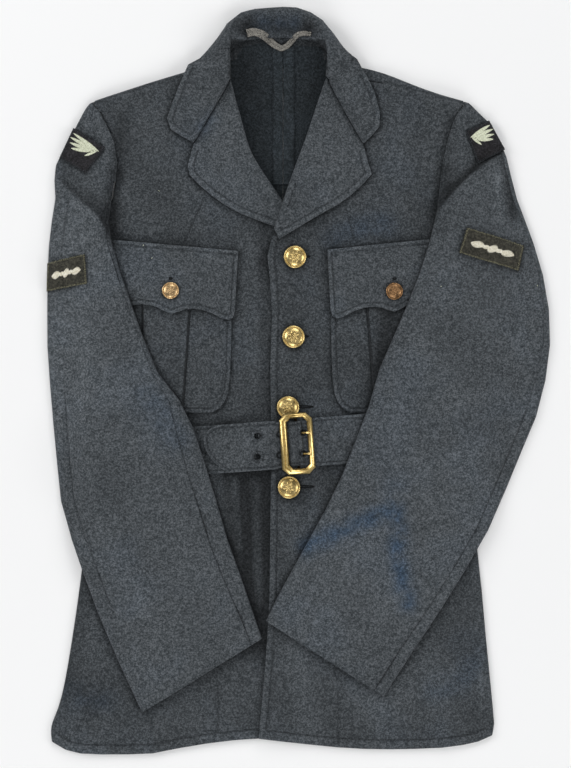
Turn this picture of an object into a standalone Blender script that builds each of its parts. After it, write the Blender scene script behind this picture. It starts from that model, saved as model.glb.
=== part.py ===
"""Belted wool service dress tunic, buttoned and laid flat on its back with its sleeves folded forward."""

import math

import bmesh
import bpy
import numpy as np

MM = 0.001

# Outlines are drawn on a pattern grid, seen from above: x grows to the right and y towards the hem.
GRID_STEP = 1.04 * MM
GRID_MIDDLE = (298.9, 381.6)

# Cloth
WALL = 2.0 * MM            # heavy serge, one layer
DOUBLE_WALL = 2.6 * MM     # lapels, collar and flaps, two layers sewn together
BELT_WALL = 3.0 * MM
BADGE_WALL = 1.2 * MM
SEAM = 0.3 * MM            # room between two pieces at a seam
REST = 0.5 * MM            # room between a piece and what it lies on
FOLD_RADIUS = 3.0 * MM     # half width of a fold seen from above
SIDE_TUCK = 8.0 * MM       # how far each front turns under the body at its side
SLEEVE_TUCK = 15.0 * MM    # how far a sleeve's seam lies from the fold, on its underside
CENTRE_BACK = 283.0        # grid x of the centre back seam

# Trim
LARGE_BUTTON = 23.4 * MM
SMALL_BUTTON = 17.6 * MM
BELT_WIDTH = 50.0 * MM
BELT_WIDTH_IN_BUCKLE = 46.0 * MM
BUCKLE_WIDTH = 34.0 * MM
BUCKLE_HEIGHT = 63.0 * MM
BUCKLE_BARS = {"left": 7.4 * MM, "right": 5.6 * MM, "top": 4.8 * MM, "bottom": 5.8 * MM}
BUCKLE_THICK = 3.4 * MM
CENTRE_BAR = 3.0 * MM
CENTRE_BAR_END = 28.0 * MM  # from the buckle's middle
BUCKLE_TILT = math.radians(4.0)
PRONG = 2.2 * MM
PRONG_SPREAD = 10.8 * MM   # from the belt's middle line to each prong


def table(columns, rows):
    """A table with named columns, as one array a column."""
    return {name: np.array(values, float) for name, values in zip(columns.split(), zip(*rows))}


# Sections of each half of the body, from the shoulder seam to the hem: the front's own edge, which follows
# the lapel's roll line and then the opening, and the outer side, which is the armhole down to UNDERARM.
LEFT_HALF = table("edge_x edge_y side_x side_y", [
    (336.0, 70, 464, 104),
    (331.0, 86, 458, 112),
    (322.5, 105, 453, 126),
    (314.0, 126, 448, 143),
    (305.5, 150, 444, 162),
    (297.5, 172, 441, 182),
    (291.5, 190, 440, 196),
    (287.5, 203, 446, 209),
    (283.5, 214, 462, 222),
    (279.0, 226, 484, 231),
    (271.0, 240, 497, 240),
    (267.5, 256, 497, 256),
    (270.0, 280, 494, 285),
    (272.0, 315, 488, 320),
    (270.3, 365, 477, 368),
    (270.8, 410, 471.3, 412),
    (271.5, 445, 471, 445),
    (271.0, 478, 472, 478),
    (270.2, 530, 475.5, 530),
    (269.5, 595, 482.5, 595),
    (267.0, 640, 486.5, 640),
    (264.0, 680, 490.5, 680),
    (261.5, 706, 493, 706),
    (259.5, 726, 494.8, 726),
    (258.5, 738, 493, 736),
])
RIGHT_HALF = table("edge_x edge_y side_x side_y", [
    (221.5, 68, 94, 104),
    (225.0, 87, 100, 112),
    (231.5, 106, 107, 126),
    (238.5, 127, 113, 143),
    (244.5, 151, 116, 162),
    (255.5, 172, 115, 182),
    (270.0, 192, 112, 200),
    (279.5, 204, 106, 211),
    (288.5, 216, 92, 223),
    (294.0, 228, 78, 232),
    (297.0, 242, 68, 240),
    (298.0, 258, 67, 256),
    (298.0, 285, 70, 285),
    (298.0, 320, 76, 320),
    (298.0, 365, 83.5, 365),
    (298.0, 412, 89, 412),
    (298.0, 445, 89.5, 445),
    (298.0, 478, 89, 478),
    (297.0, 530, 86.4, 530),
    (295.0, 595, 78.5, 595),
    (293.5, 640, 71.5, 640),
    (291.5, 680, 64.5, 680),
    (289.5, 706, 57.5, 706),
    (288.0, 725, 49.0, 725),
    (287.0, 738, 51.0, 738),
])
UNDERARM = 10              # the first section below the armhole

# Where the columns of points lie, from a front's edge to its side and from the neck's end to the back's side.
FRONT_SHARES = np.array([0, 0.115, 0.23, 0.345, 0.46, 0.575, 0.685, 0.79, 0.885, 0.95, 1.0])
BACK_SHARES = np.array([0.2, 0.4, 0.6, 0.8, 0.93, 1.0])

# The shoulder seams, on the front side of the fold over each shoulder.
SHOULDER_SEAM_LEFT = table("x y", [
    (334, 69), (352, 76), (372, 83), (394, 84), (413, 89.8), (440, 97.4), (464, 104),
])
SHOULDER_SEAM_RIGHT = table("x y", [
    (94, 104), (109, 98.4), (136, 90.4), (154, 83.6), (173, 78.8), (190, 73.5), (207, 70), (224, 68),
])
SHOULDER_RADIUS = 2.5 * MM

# The hem's own line, across the whole body.
HEM = table("x y", [
    (48, 738), (52, 742), (60, 748), (72, 752.5), (86, 754.5), (118, 755), (151, 754), (182, 748), (218, 742),
    (258, 738.5), (285, 742), (331, 748), (376, 751), (413, 751), (449, 749.5), (474, 745.5), (486, 741.5),
    (493, 737), (496, 733),
])
HEM_STARTS = 595.0         # sections below this bend towards the hem's line
HEM_LEVEL = 738.0

# The top of the back: the neck seam and then the fold over each shoulder.
BACK_TOP_LEFT = table("x y", [
    (283, 39.4), (297, 40.4), (311, 43.2), (321, 48.6), (328, 57), (334, 64), (352, 65),
    (376, 68.5), (398, 78), (420, 87.5), (440, 94), (464, 100.5),
])
BACK_TOP_RIGHT = table("x y", [
    (94, 100.5), (109, 95), (136, 87), (154, 80), (173, 75), (190, 69.5), (207, 65.5), (223, 64),
    (229, 57), (235.5, 48.8), (245.5, 43), (264, 40.4), (283, 39.4),
])

# Sleeves, from the cap to the cuff: the body side, which is the armhole down to ARMHOLE_ENDS, the far
# side, and the strip of the under sleeve that folds over onto the top.
LEFT_SLEEVE = table("body_x body_y far_x far_y strip", [
    (464, 101.2, 469.5, 102.6, 2),
    (464, 104, 473, 105.8, 2),
    (458, 112, 479, 112, 4),
    (453, 126, 490.5, 123, 4),
    (448, 143, 500, 139, 4),
    (444, 162, 507, 157, 4),
    (441, 182, 512, 178, 4),
    (440, 196, 517.5, 199, 4),
    (436, 214, 524, 216, 4),
    (429, 242, 534, 243, 4),
    (419, 273, 543.5, 275, 4),
    (407, 304, 549.5, 310, 5),
    (393, 337, 550.5, 345, 7),
    (379, 369, 546, 380, 10),
    (368, 406, 536.5, 417, 12),
    (355, 440, 523, 449, 12),
    (342, 474, 507, 488, 12),
    (326, 508, 488, 530, 12),
    (308, 540, 466, 568, 12),
    (291, 571, 441, 609, 12),
    (277, 597, 414, 649, 12),
    (266, 620, 384, 696, 12),
])
RIGHT_SLEEVE = table("body_x body_y far_x far_y strip", [
    (94, 101.2, 89.5, 102.8, 2),
    (94, 104, 86, 106.4, 2),
    (100, 112, 79.5, 118, 4),
    (107, 126, 72.5, 132, 4),
    (113, 143, 62.5, 150, 4),
    (116, 162, 55.5, 165, 4),
    (115, 182, 54, 180, 4),
    (112, 200, 55, 198, 4),
    (109, 222, 51.5, 220, 4),
    (113, 245, 48.5, 246, 4),
    (121, 272, 47, 277, 4),
    (132, 304, 46.8, 312, 4),
    (144, 338, 47, 347, 4),
    (158, 372, 49.5, 384, 5),
    (180, 400, 53, 425, 10),
    (194, 428, 56.5, 462, 17),
    (205, 461, 60.5, 501, 19),
    (216, 498, 72, 540, 19),
    (227, 537, 85, 577, 18),
    (240, 573, 99, 615, 17),
    (251, 606, 118, 660, 14),
    (262, 638, 142, 712, 12),
])
ARMHOLE_ENDS = 7
HEAD_ROWS = 5              # sections of the sleeve head that lie on the floor
SLEEVE_LOFT = 2.4 * MM     # room between a sleeve's two layers at its middle
LAYER_ROOM = 0.5 * MM      # and beside its folds

# Lapels, from the gorge seam to the end of the roll line.
LAPEL_SWELL = 1.8 * MM     # rise of each lapel beside its roll line
LEFT_LAPEL = table("roll_x roll_y tip_x tip_y", [
    (326.0, 78.5, 363.3, 144.6),
    (322.5, 88, 365.5, 153),
    (318, 100, 368, 163),
    (313.5, 114, 371.8, 174),
    (308.5, 129, 362, 185),
    (303, 145, 350, 196),
    (297, 160, 336.5, 205.5),
    (291.5, 176, 321, 214),
    (286.5, 191, 308, 222),
    (282, 206, 296, 229.5),
    (277.5, 219, 286, 235.5),
    (274, 229, 279, 239.5),
])
RIGHT_LAPEL = table("roll_x roll_y tip_x tip_y", [
    (230.8, 80.5, 193.8, 143.8),
    (233.5, 90, 190.5, 155),
    (237, 103, 187.8, 166),
    (241, 117, 190, 175.5),
    (245, 132, 199, 184.5),
    (250, 150, 211.5, 195.5),
    (258, 164, 226, 205.5),
    (267, 177.5, 241, 213.5),
    (277, 192, 257, 220),
    (285.5, 205, 270.5, 225),
    (291, 214, 281.5, 227.5),
    (295, 221.5, 289, 230),
])

# Collar, round the neck from the right gorge seam to the left one: the seam on the neckline, the roll
# edge, the outer bend of the fall and the fall's free edge. Heights are in millimetres over the floor,
# and where bend_z is 0 the fall lies on the fronts and gets its height from them.
COLLAR = table("seam_x seam_y roll_x roll_y roll_z bend_x bend_y bend_z fall_x fall_y fall_z", [
    (226.6, 80.5, 230.3, 79.3, 10.0, 212, 110, 0, 193.2, 142.6, 0),
    (226.2, 77.5, 230.2, 74.5, 10.5, 206, 105, 0, 181.5, 136.0, 0),
    (225.6, 74.5, 230.0, 69.0, 11.5, 200, 98, 0, 170.5, 129.0, 0),
    (225.0, 72.0, 229.8, 63.5, 13.0, 198, 90, 0, 167.3, 118.5, 0),
    (224.6, 69.5, 229.6, 57.5, 14.5, 200, 79, 0, 172.0, 104.0, 0),
    (224.4, 66.8, 229.4, 51.5, 16.0, 203, 68, 0, 178.5, 88.5, 0),
    (224.6, 62.0, 229.2, 45.0, 17.5, 204, 57.5, 10.0, 188.5, 66.0, 7.0),
    (227.2, 56.0, 229.0, 38.5, 18.5, 211.5, 47.5, 9.0, 204.0, 60.0, 2.2),
    (231.0, 50.2, 230.0, 31.5, 18.0, 219.5, 36.0, 8.5, 220.0, 59.0, 1.5),
    (237.0, 44.8, 234.5, 24.0, 16.0, 227.5, 25.0, 7.5, 234.0, 61.0, 1.5),
    (247.0, 41.0, 243.5, 17.0, 13.5, 240.0, 14.8, 6.5, 247.0, 62.0, 1.5),
    (258.0, 39.4, 256.0, 13.2, 12.0, 254.5, 10.8, 6.0, 258.0, 62.5, 1.5),
    (270.5, 38.6, 269.5, 12.0, 11.5, 269.0, 9.8, 6.0, 270.5, 63.0, 1.5),
    (283.0, 38.2, 283.0, 11.2, 11.5, 283.0, 9.0, 6.0, 283.0, 63.0, 1.5),
    (295.0, 38.8, 296.0, 12.0, 12.0, 296.5, 9.6, 6.0, 295.0, 63.0, 1.5),
    (307.0, 40.5, 309.0, 16.5, 13.5, 311.5, 15.2, 6.5, 307.0, 62.5, 1.5),
    (317.5, 44.0, 319.5, 23.5, 16.0, 324.0, 24.0, 7.5, 320.0, 61.5, 1.5),
    (325.0, 49.2, 324.5, 31.5, 18.0, 334.0, 35.0, 8.5, 334.0, 59.5, 1.5),
    (330.4, 56.0, 326.5, 40.0, 18.5, 341.0, 46.5, 9.0, 343.0, 60.5, 2.2),
    (332.9, 62.0, 327.4, 48.0, 17.5, 348.5, 55.0, 10.0, 356.5, 60.5, 7.0),
    (333.0, 67.0, 327.8, 54.5, 16.0, 351.0, 69.0, 0, 366.0, 76.0, 0),
    (332.2, 70.0, 327.8, 60.0, 14.5, 351.0, 80.0, 0, 374.0, 91.5, 0),
    (331.2, 72.5, 327.6, 65.5, 13.0, 352.0, 92.0, 0, 380.0, 112.0, 0),
    (330.2, 75.0, 327.3, 70.0, 11.5, 351.0, 100.0, 0, 379.3, 126.5, 0),
    (329.4, 76.5, 327.0, 73.5, 10.5, 348.0, 106.0, 0, 371.0, 136.5, 0),
    (328.6, 78.0, 326.7, 77.0, 10.0, 345.5, 111.0, 0, 364.0, 143.4, 0),
])

# Breast pockets: the scalloped flap's depth at each distance out from its middle, in grid steps, and
# where each pocket lies. The pleat's edges lean over by a share of the way down from y 345.
FLAP_EDGE = table("out drop", [
    (0, 69), (8, 66), (14, 63.2), (22, 62), (30, 61.8), (41, 64.5), (51, 68.8), (58, 69.8), (62, 67),
    (64, 61),
])
FLAP_TAPER = 0.05          # the flap's top is this much wider than its lower end
POCKETS = {
    "right": {
        "middle_x": 171.0, "top_y": 245.1, "slope": 0.088, "bag": (110.0, 231.0), "pleat": (143.5, 186.8),
        "lean": (0, -0.07),
    },
    "left": {
        "middle_x": 394.5, "top_y": 242.8, "slope": -0.103, "bag": (331.5, 457.0), "pleat": (370.5, 417.0),
        "lean": (0.08, 0),
    },
}
POCKET_ROWS = table("y inset", [
    (256, 0), (285, 0), (316, -0.5), (345, 0), (375, 1.0), (391, 3.0), (401, 6.5), (408, 12), (412.5, 19),
])
PLEAT_RISE = 1.8 * MM

LARGE_BUTTONS = table("x y", [(295, 257), (293.5, 337), (288, 407.2), (289, 487)])
SMALL_BUTTONS = table("x y", [(171, 291), (394, 291.5)])

# Belt: from the buckle's centre bar round the right side, behind the back, round the left side, across
# the front through the buckle and out to its rounded tip. Its middle line is straight, seen from above.
BUCKLE_MIDDLE = (297.0, 443.0)
BELT_SLOPE = -0.075
BELT_ENDS = {"bar": 293.5, "right": 87.6, "left": 473.2}
# The tip's lower and upper edge, in mm above the belt's middle line.
BELT_TIP = table("x low high", [
    (204.8, 5, 11), (206, 0, 15), (208.8, -5, 19), (213, -12, 22.5), (219.5, -19.5, 25), (227, -25, 25),
])
EYELETS_X = 257.5          # grid x of the spare pair of eyelets
PRONG_HOLE_X = 303.0
EYELET = 4.4 * MM
BUCKLE_CORNER = 6.4 * MM   # cut off each corner of the buckle
BELT_CLEAR = 1.0 * MM      # room between the belt and the body's side fold

HANGER = table("x y width", [
    (247, 34.5, 8), (254, 33, 8), (261, 35, 8), (268, 39.5, 7.5), (275, 45.5, 7), (281.5, 49, 6),
    (287.5, 46, 5.5), (293, 40, 5.5), (298, 35.5, 5), (304, 34.5, 5), (311, 35.5, 5),
])

# Badges, by their four corners seen from above; the far two reach the sleeve's outer fold.
BADGES = {
    "shoulder_patch_left": [(466, 131.5), (489, 120.5), (505, 149.5), (478, 163.5)],
    "shoulder_patch_right": [(105.5, 147.5), (73.5, 128), (59.5, 157.5), (86, 173.5)],
    "sleeve_badge_left": [(465.5, 228.5), (524, 246), (518.5, 271), (457.5, 253.5)],
    "sleeve_badge_right": [(86, 255), (47.3, 263.5), (46.5, 291.5), (88, 284)],
}

# Soft folds in the laid cloth: a ridge from one point to another, its half width and its height in
# grid steps and millimetres.
BODY_FOLDS = table("x0 y0 x1 y1 half rise", [
    (262, 268, 256, 400, 9, 1.2),
    (232, 480, 250, 620, 16, 2.2),
    (190, 640, 160, 745, 22, 1.6),
    (300, 500, 310, 600, 14, 1.6),
    (340, 600, 352, 740, 20, 1.8),
    (420, 660, 440, 745, 18, 1.5),
    (140, 110, 190, 220, 16, 1.4),
    (420, 120, 400, 225, 16, 1.4),
    (100, 655, 85, 748, 14, 1.3),
])
SLEEVE_FOLDS = table("x0 y0 x1 y1 half rise", [
    (64, 172, 108, 226, 9, 1.8),
    (502, 158, 446, 212, 9, 1.8),
    (499, 160, 505, 300, 8, 1.4),
    (60, 210, 62, 330, 9, 1.2),
    (80, 400, 150, 440, 12, 1.5),
    (500, 400, 440, 450, 13, 1.6),
    (470, 330, 420, 352, 11, 1.2),
    (110, 520, 150, 640, 14, 1.2),
    (410, 560, 350, 620, 14, 1.3),
])


def clear_scene():
    for old in list(bpy.data.objects):
        bpy.data.objects.remove(old, do_unlink=True)


def place(x, y):
    """Grid coordinates to metres."""
    x, y = np.asarray(x, float), np.asarray(y, float)
    return np.stack([(x - GRID_MIDDLE[0]) * GRID_STEP, (GRID_MIDDLE[1] - y) * GRID_STEP], axis=-1)


# Base colour, roughness and metal of each material.
SERGE = ((0.055, 0.066, 0.078), 0.95, 0.0)
LIGHT_SERGE = ((0.085, 0.098, 0.112), 0.95, 0.0)
DARK_CLOTH = ((0.02, 0.02, 0.022), 0.95, 0.0)
BADGE_FELT = ((0.042, 0.040, 0.032), 0.95, 0.0)
TAPE = ((0.34, 0.32, 0.26), 0.9, 0.0)
BRASS = ((0.48, 0.28, 0.07), 0.35, 1.0)


def finish_of(name, look):
    colour, roughness, metallic = look
    material = bpy.data.materials.new(name + "_finish")
    material.use_nodes = True
    shader = material.node_tree.nodes["Principled BSDF"]
    shader.inputs["Base Color"].default_value = (*colour, 1.0)
    shader.inputs["Roughness"].default_value = roughness
    shader.inputs["Metallic"].default_value = metallic
    material.diffuse_color = (*colour, 1.0)
    return material


class Pile:
    """Heights of all that lies on the floor so far, on a square lattice."""

    def __init__(self, half_width=0.30, half_length=0.42, cell=0.002):
        self.cell = cell
        self.low = np.array([-half_width, -half_length])
        self.shape = (int(2 * half_width / cell) + 1, int(2 * half_length / cell) + 1)
        self.height = np.zeros(self.shape)

    def spread(self, field, cells):
        """The highest value within so many cells."""
        for axis in (0, 1):
            best = field.copy()
            for shift in range(1, cells + 1):
                best = np.maximum(best, np.roll(field, shift, axis))
                best = np.maximum(best, np.roll(field, -shift, axis))
            field = best
        return field

    def soften(self, field, cells):
        for axis in (0, 1, 0, 1):
            total = field.copy()
            for shift in range(1, cells + 1):
                total = total + np.roll(field, shift, axis) + np.roll(field, -shift, axis)
            field = total / (2 * cells + 1)
        return field

    def sample(self, field, points):
        spot = (np.asarray(points) - self.low) / self.cell
        first = np.clip(np.floor(spot).astype(int), 0, np.array(self.shape) - 2)
        part = spot - first
        i, j = first[..., 0], first[..., 1]
        u, v = part[..., 0], part[..., 1]
        lower = field[i, j] * (1 - u) + field[i + 1, j] * u
        upper = field[i, j + 1] * (1 - u) + field[i + 1, j + 1] * u
        return lower * (1 - v) + upper * v

    def cover(self, points, triangles):
        """Lattice cells under each triangle, with the triangle and its corner weights."""
        cells, owners, weights = [], [], []
        for number, corners in enumerate(triangles):
            a, b, c = (points[k] for k in corners)
            area = (b[0] - a[0]) * (c[1] - a[1]) - (b[1] - a[1]) * (c[0] - a[0])
            if abs(area) < 1e-12:
                continue
            span = np.stack([a, b, c])
            first = np.maximum(np.ceil((span.min(0) - self.low) / self.cell).astype(int), 0)
            last = np.minimum(
                np.floor((span.max(0) - self.low) / self.cell).astype(int), np.array(self.shape) - 1
            )
            if (last < first).any():
                continue
            i, j = np.meshgrid(
                np.arange(first[0], last[0] + 1), np.arange(first[1], last[1] + 1), indexing="ij"
            )
            x = self.low[0] + i * self.cell
            y = self.low[1] + j * self.cell
            wb = ((x - a[0]) * (c[1] - a[1]) - (y - a[1]) * (c[0] - a[0])) / area
            wc = ((b[0] - a[0]) * (y - a[1]) - (b[1] - a[1]) * (x - a[0])) / area
            wa = 1 - wb - wc
            inside = (wa >= -1e-9) & (wb >= -1e-9) & (wc >= -1e-9)
            if inside.any():
                cells.append(i[inside] * self.shape[1] + j[inside])
                owners.append(np.full(inside.sum(), number))
                weights.append(np.stack([wa[inside], wb[inside], wc[inside]], axis=1))
        if not cells:
            return np.zeros(0, int), np.zeros(0, int), np.zeros((0, 3))
        return np.concatenate(cells), np.concatenate(owners), np.concatenate(weights)

    def settle(self, points, triangles, reach=4, room=REST, start=None, counted=None, over=None):
        """Heights at which a sheet of triangles lies softly on the pile and clears it everywhere."""
        triangles = np.asarray(triangles)
        under = self.height if over is None else over
        heights = start
        if heights is None:
            soft = self.soften(self.spread(under, reach), max(reach - 1, 1))
            heights = self.sample(soft, points)
            heights = heights + room * np.clip(heights / MM, 0, 1)
        else:
            heights = heights.copy()
        floor = self.spread(under, 1).ravel()
        used = triangles if counted is None else triangles[counted]
        cells, owners, weights = self.cover(points, used)
        need = floor[cells] + room * (floor[cells] > 0)
        corners = used[owners]
        strength = weights / (weights**2).sum(1, keepdims=True)
        for _ in range(60):
            short = need - (heights[corners] * weights).sum(1)
            if short.size == 0 or short.max() < 1e-6:
                break
            rise = np.zeros(len(heights))
            np.maximum.at(rise, corners, np.maximum(short, 0)[:, None] * strength)
            heights = heights + rise
        return heights

    def add(self, points, heights, triangles):
        cells, owners, weights = self.cover(points, triangles)
        corners = np.asarray(triangles)[owners]
        np.maximum.at(self.height.reshape(-1), cells, (heights[corners] * weights).sum(1))

    def highest(self, centre, radius):
        x = self.low[0] + np.arange(self.shape[0])[:, None] * self.cell
        y = self.low[1] + np.arange(self.shape[1])[None, :] * self.cell
        near = (x - centre[0]) ** 2 + (y - centre[1]) ** 2 <= radius**2
        return float(self.height[near].max())


pile = Pile()


def grid_quads(rows, columns, skip=lambda i, j: False):
    """Quads of a grid of points numbered row by row, less those that skip names."""
    return [
        (i * columns + j, i * columns + j + 1, (i + 1) * columns + j + 1, (i + 1) * columns + j)
        for i in range(rows - 1)
        for j in range(columns - 1)
        if not skip(i, j)
    ]


def split(quads):
    return [corner for a, b, c, d in quads for corner in ((a, b, c), (a, c, d))]


def wall(name, outer, inner, quads, look, smooth=40):
    """A closed cloth wall between an outer and an inner layer of the same points."""
    used = sorted({k for quad in quads for k in quad})
    number = {k: n for n, k in enumerate(used)}
    count = len(used)
    points = [tuple(outer[k]) for k in used] + [tuple(inner[k]) for k in used]
    faces = []
    sides = {}
    for triangle in split(quads):
        a, b, c = (number[k] for k in triangle)
        faces += [(a, b, c), (count + c, count + b, count + a)]
        for edge in ((a, b), (b, c), (c, a)):
            if edge[::-1] in sides:
                del sides[edge[::-1]]
            else:
                sides[edge] = True
    for a, b in sides:
        faces += [(b, a, count + a), (b, count + a, count + b)]
    mesh = bpy.data.meshes.new(name)
    mesh.from_pydata(points, [], faces)
    return finish(name, mesh, look, smooth)


def finish(name, mesh, look, smooth=40):
    shape = bmesh.new()
    shape.from_mesh(mesh)
    bmesh.ops.recalc_face_normals(shape, faces=shape.faces)
    shape.to_mesh(mesh)
    shape.free()
    mesh.materials.append(finish_of(name, look))
    mesh.shade_smooth()
    mesh.set_sharp_from_angle(angle=math.radians(smooth))
    made = bpy.data.objects.new(name, mesh)
    bpy.context.scene.collection.objects.link(made)
    return made


def fold_relief(points, folds):
    """Height of the soft folds at some points."""
    height = np.zeros(points.shape[:-1])
    for n in range(len(folds["x0"])):
        a = place(folds["x0"][n], folds["y0"][n])
        b = place(folds["x1"][n], folds["y1"][n])
        along = np.clip(((points - a) @ (b - a)) / ((b - a) @ (b - a)), 0, 1)
        away = np.linalg.norm(points - (a + along[..., None] * (b - a)), axis=-1)
        taper = np.sin(np.pi * np.clip(0.15 + 0.7 * along, 0, 1))
        height += taper * folds["rise"][n] * MM * np.exp(-((away / (folds["half"][n] * GRID_STEP)) ** 2))
    return height


def unit(vector):
    return vector / np.linalg.norm(vector)


def turn(edge, inward, top, base, thick, radius, tuck, base_tuck=None):
    """Outer and inner points of a fold from the top layer round an edge and under it."""
    middle, half = (top + base) / 2, (top - base) / 2
    base_tuck = base if base_tuck is None else base_tuck
    outer, inner = [], []
    for degrees in (50, 0, -50):
        c, s = math.cos(math.radians(degrees)), math.sin(math.radians(degrees))
        outer.append((*(edge + inward * radius * (1 - c)), middle + half * s))
        inner_half = max(half - thick, 0.1 * MM)
        inner.append((*(edge + inward * (radius - (radius - thick) * c)), middle + inner_half * s))
    outer.append((*(edge + inward * radius), base))
    inner.append((*(edge + inward * radius), base + thick))
    outer.append((*(edge + inward * tuck), base_tuck))
    inner.append((*(edge + inward * tuck), base_tuck + thick))
    return outer, inner


def hem_drop(points_x, points_y):
    """How far a point of the skirt moves so that the last section follows the hem."""
    share = np.clip((points_y - HEM_STARTS) / (HEM_LEVEL - HEM_STARTS), 0, 1.05) ** 2
    return share * (np.interp(points_x, HEM["x"], HEM["y"]) - HEM_LEVEL)


def top_line(half):
    return BACK_TOP_LEFT if half is LEFT_HALF else BACK_TOP_RIGHT


def seam_line(half):
    return SHOULDER_SEAM_LEFT if half is LEFT_HALF else SHOULDER_SEAM_RIGHT


def back_sheet(half):
    """Grid points of half of the back, and the columns whose top folds over the shoulder."""
    side = 1 if half is LEFT_HALF else -1
    top = top_line(half)
    near = CENTRE_BACK + side * SEAM / GRID_STEP / 2
    seam = seam_line(half)
    neck_end = seam["x"][0 if side == 1 else -1]
    shoulder = half["side_x"][0]
    neck_share = (neck_end - near) / (shoulder - near)
    share = np.concatenate([np.linspace(0, neck_share, 5), neck_share + (1 - neck_share) * BACK_SHARES])
    folded = share >= neck_share - 1e-9
    rows = []
    sections = len(half["side_x"])
    for i in range(sections):
        tuck = ((SIDE_TUCK if i >= UNDERARM else 0) + SEAM) / GRID_STEP
        x = near + share * (half["side_x"][i] - side * tuck - near)
        first = np.interp(x, top["x"], top["y"]) + folded * SHOULDER_RADIUS / GRID_STEP
        level = half["side_y"][i]
        fade = np.clip((level - half["side_y"][0]) / 130, 0, 1)
        y = (1 - fade) * (first + level - half["side_y"][0]) + fade * level
        y = y + hem_drop(x, y) - (2.5 if i == sections - 1 else 0)
        rows.append(np.stack([x, y], axis=1))
    return np.array(rows), folded


def back_panel(name, half, look):
    """Half of the back, on the floor, its top edge folded over the shoulder to the front's seam."""
    grid, folded = back_sheet(half)
    count, columns = grid.shape[:2]
    spots = place(grid[..., 0], grid[..., 1])
    flat = spots.reshape(-1, 2)
    under = pile.settle(flat, split(grid_quads(count, columns)), reach=5).reshape(count, columns)
    extra = 5
    outer = np.zeros((count + extra, columns, 3))
    inner = np.zeros((count + extra, columns, 3))
    outer[extra:] = np.concatenate([spots, under[..., None]], axis=-1)
    inner[extra:] = np.concatenate([spots, under[..., None] + WALL], axis=-1)
    top, seam = top_line(half), seam_line(half)
    for j in np.flatnonzero(folded):
        x = grid[0, j, 0]
        crest = np.interp(x, top["x"], top["y"])
        strip = (np.interp(x, seam["x"], seam["y"]) - crest) * GRID_STEP - SEAM
        low = under[0, j]
        outside, inside = turn(
            place(x, crest), np.array([0.0, -1.0]), low, low + 2 * WALL + REST, WALL, SHOULDER_RADIUS,
            max(strip, SHOULDER_RADIUS + 0.4 * MM),
        )
        outer[:extra, j] = outside[::-1]
        inner[:extra, j] = inside[::-1]
    quads = grid_quads(count + extra, columns, lambda i, j: i < extra and not (folded[j] and folded[j + 1]))
    return name, outer.reshape(-1, 3), inner.reshape(-1, 3), quads, look


def lay_backs(look):
    """Both halves of the back, each settled before the other is on the pile."""
    halves = [back_panel("back_left", LEFT_HALF, look), back_panel("back_right", RIGHT_HALF, look)]
    for name, outer, inner, quads, cloth in halves:
        top = np.maximum(outer[:, 2], inner[:, 2])
        pile.add(outer[:, :2], top, split(quads))
        wall(name, outer, inner, quads, cloth)


def front_panel(name, half, ground, look):
    """One front, lying on the back, its side turned under the body."""
    count, columns = len(half["side_x"]), len(FRONT_SHARES)
    edge = place(half["edge_x"], half["edge_y"])
    end = place(half["side_x"], half["side_y"])
    spots = np.zeros((count, columns, 2))
    for i in range(count):
        run = end[i] - edge[i]
        margin = FOLD_RADIUS if i >= UNDERARM else SEAM
        share = FRONT_SHARES * (1 - margin / np.linalg.norm(run))
        spots[i] = edge[i] + share[:, None] * run
    grid_x = spots[..., 0] / GRID_STEP + GRID_MIDDLE[0]
    grid_y = GRID_MIDDLE[1] - spots[..., 1] / GRID_STEP
    seam = seam_line(half)
    bow = np.interp(grid_x[0], seam["x"], seam["y"]) - grid_y[0]
    fade = np.clip(1 - np.arange(count) / 5, 0, 1)[:, None]
    spots[..., 1] -= (hem_drop(grid_x, grid_y) + fade * bow) * GRID_STEP
    flat = spots.reshape(-1, 2)
    triangles = np.array(split(grid_quads(count, columns)))
    strip = pile.sample(pile.spread(pile.height, 1), spots[0] + np.array([0.0, 1.5 * MM])) - WALL
    strip = np.maximum(strip, WALL + REST)
    begin = pile.sample(pile.soften(pile.spread(pile.height, 4), 3), flat) + REST
    begin[:columns] = strip
    counted = triangles.min(axis=1) >= columns
    under = pile.settle(flat, triangles, start=begin, counted=counted)
    under = (under + fold_relief(flat, BODY_FOLDS)).reshape(count, columns)
    total = columns + 5
    outer = np.zeros((count, total, 3))
    inner = np.zeros((count, total, 3))
    outer[:, :columns] = np.concatenate([spots, (under + WALL)[..., None]], axis=-1)
    inner[:, :columns] = np.concatenate([spots, under[..., None]], axis=-1)
    below = np.arange(UNDERARM, count)
    inward = np.array([unit(spots[i, -2] - spots[i, -1]) for i in below])
    tip = spots[below, -1] - inward * FOLD_RADIUS
    tucked = np.stack([tip, tip + inward * FOLD_RADIUS, tip + inward * SIDE_TUCK], axis=1)
    base = pile.settle(
        tucked.reshape(-1, 2), split(grid_quads(len(below), 3)), reach=2, over=ground
    ).reshape(-1, 3)
    for n, i in enumerate(below):
        outside, inside = turn(
            tip[n], inward[n], under[i, -1] + WALL, base[n, 1], WALL, FOLD_RADIUS, SIDE_TUCK, base[n, 2]
        )
        outer[i, columns:] = outside
        inner[i, columns:] = inside
    quads = grid_quads(count, total, lambda i, j: i < UNDERARM and j >= columns - 1)
    outer, inner = outer.reshape(-1, 3), inner.reshape(-1, 3)
    pile.add(outer[:, :2], outer[:, 2], split(quads))
    return wall(name, outer, inner, quads, look)


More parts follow.
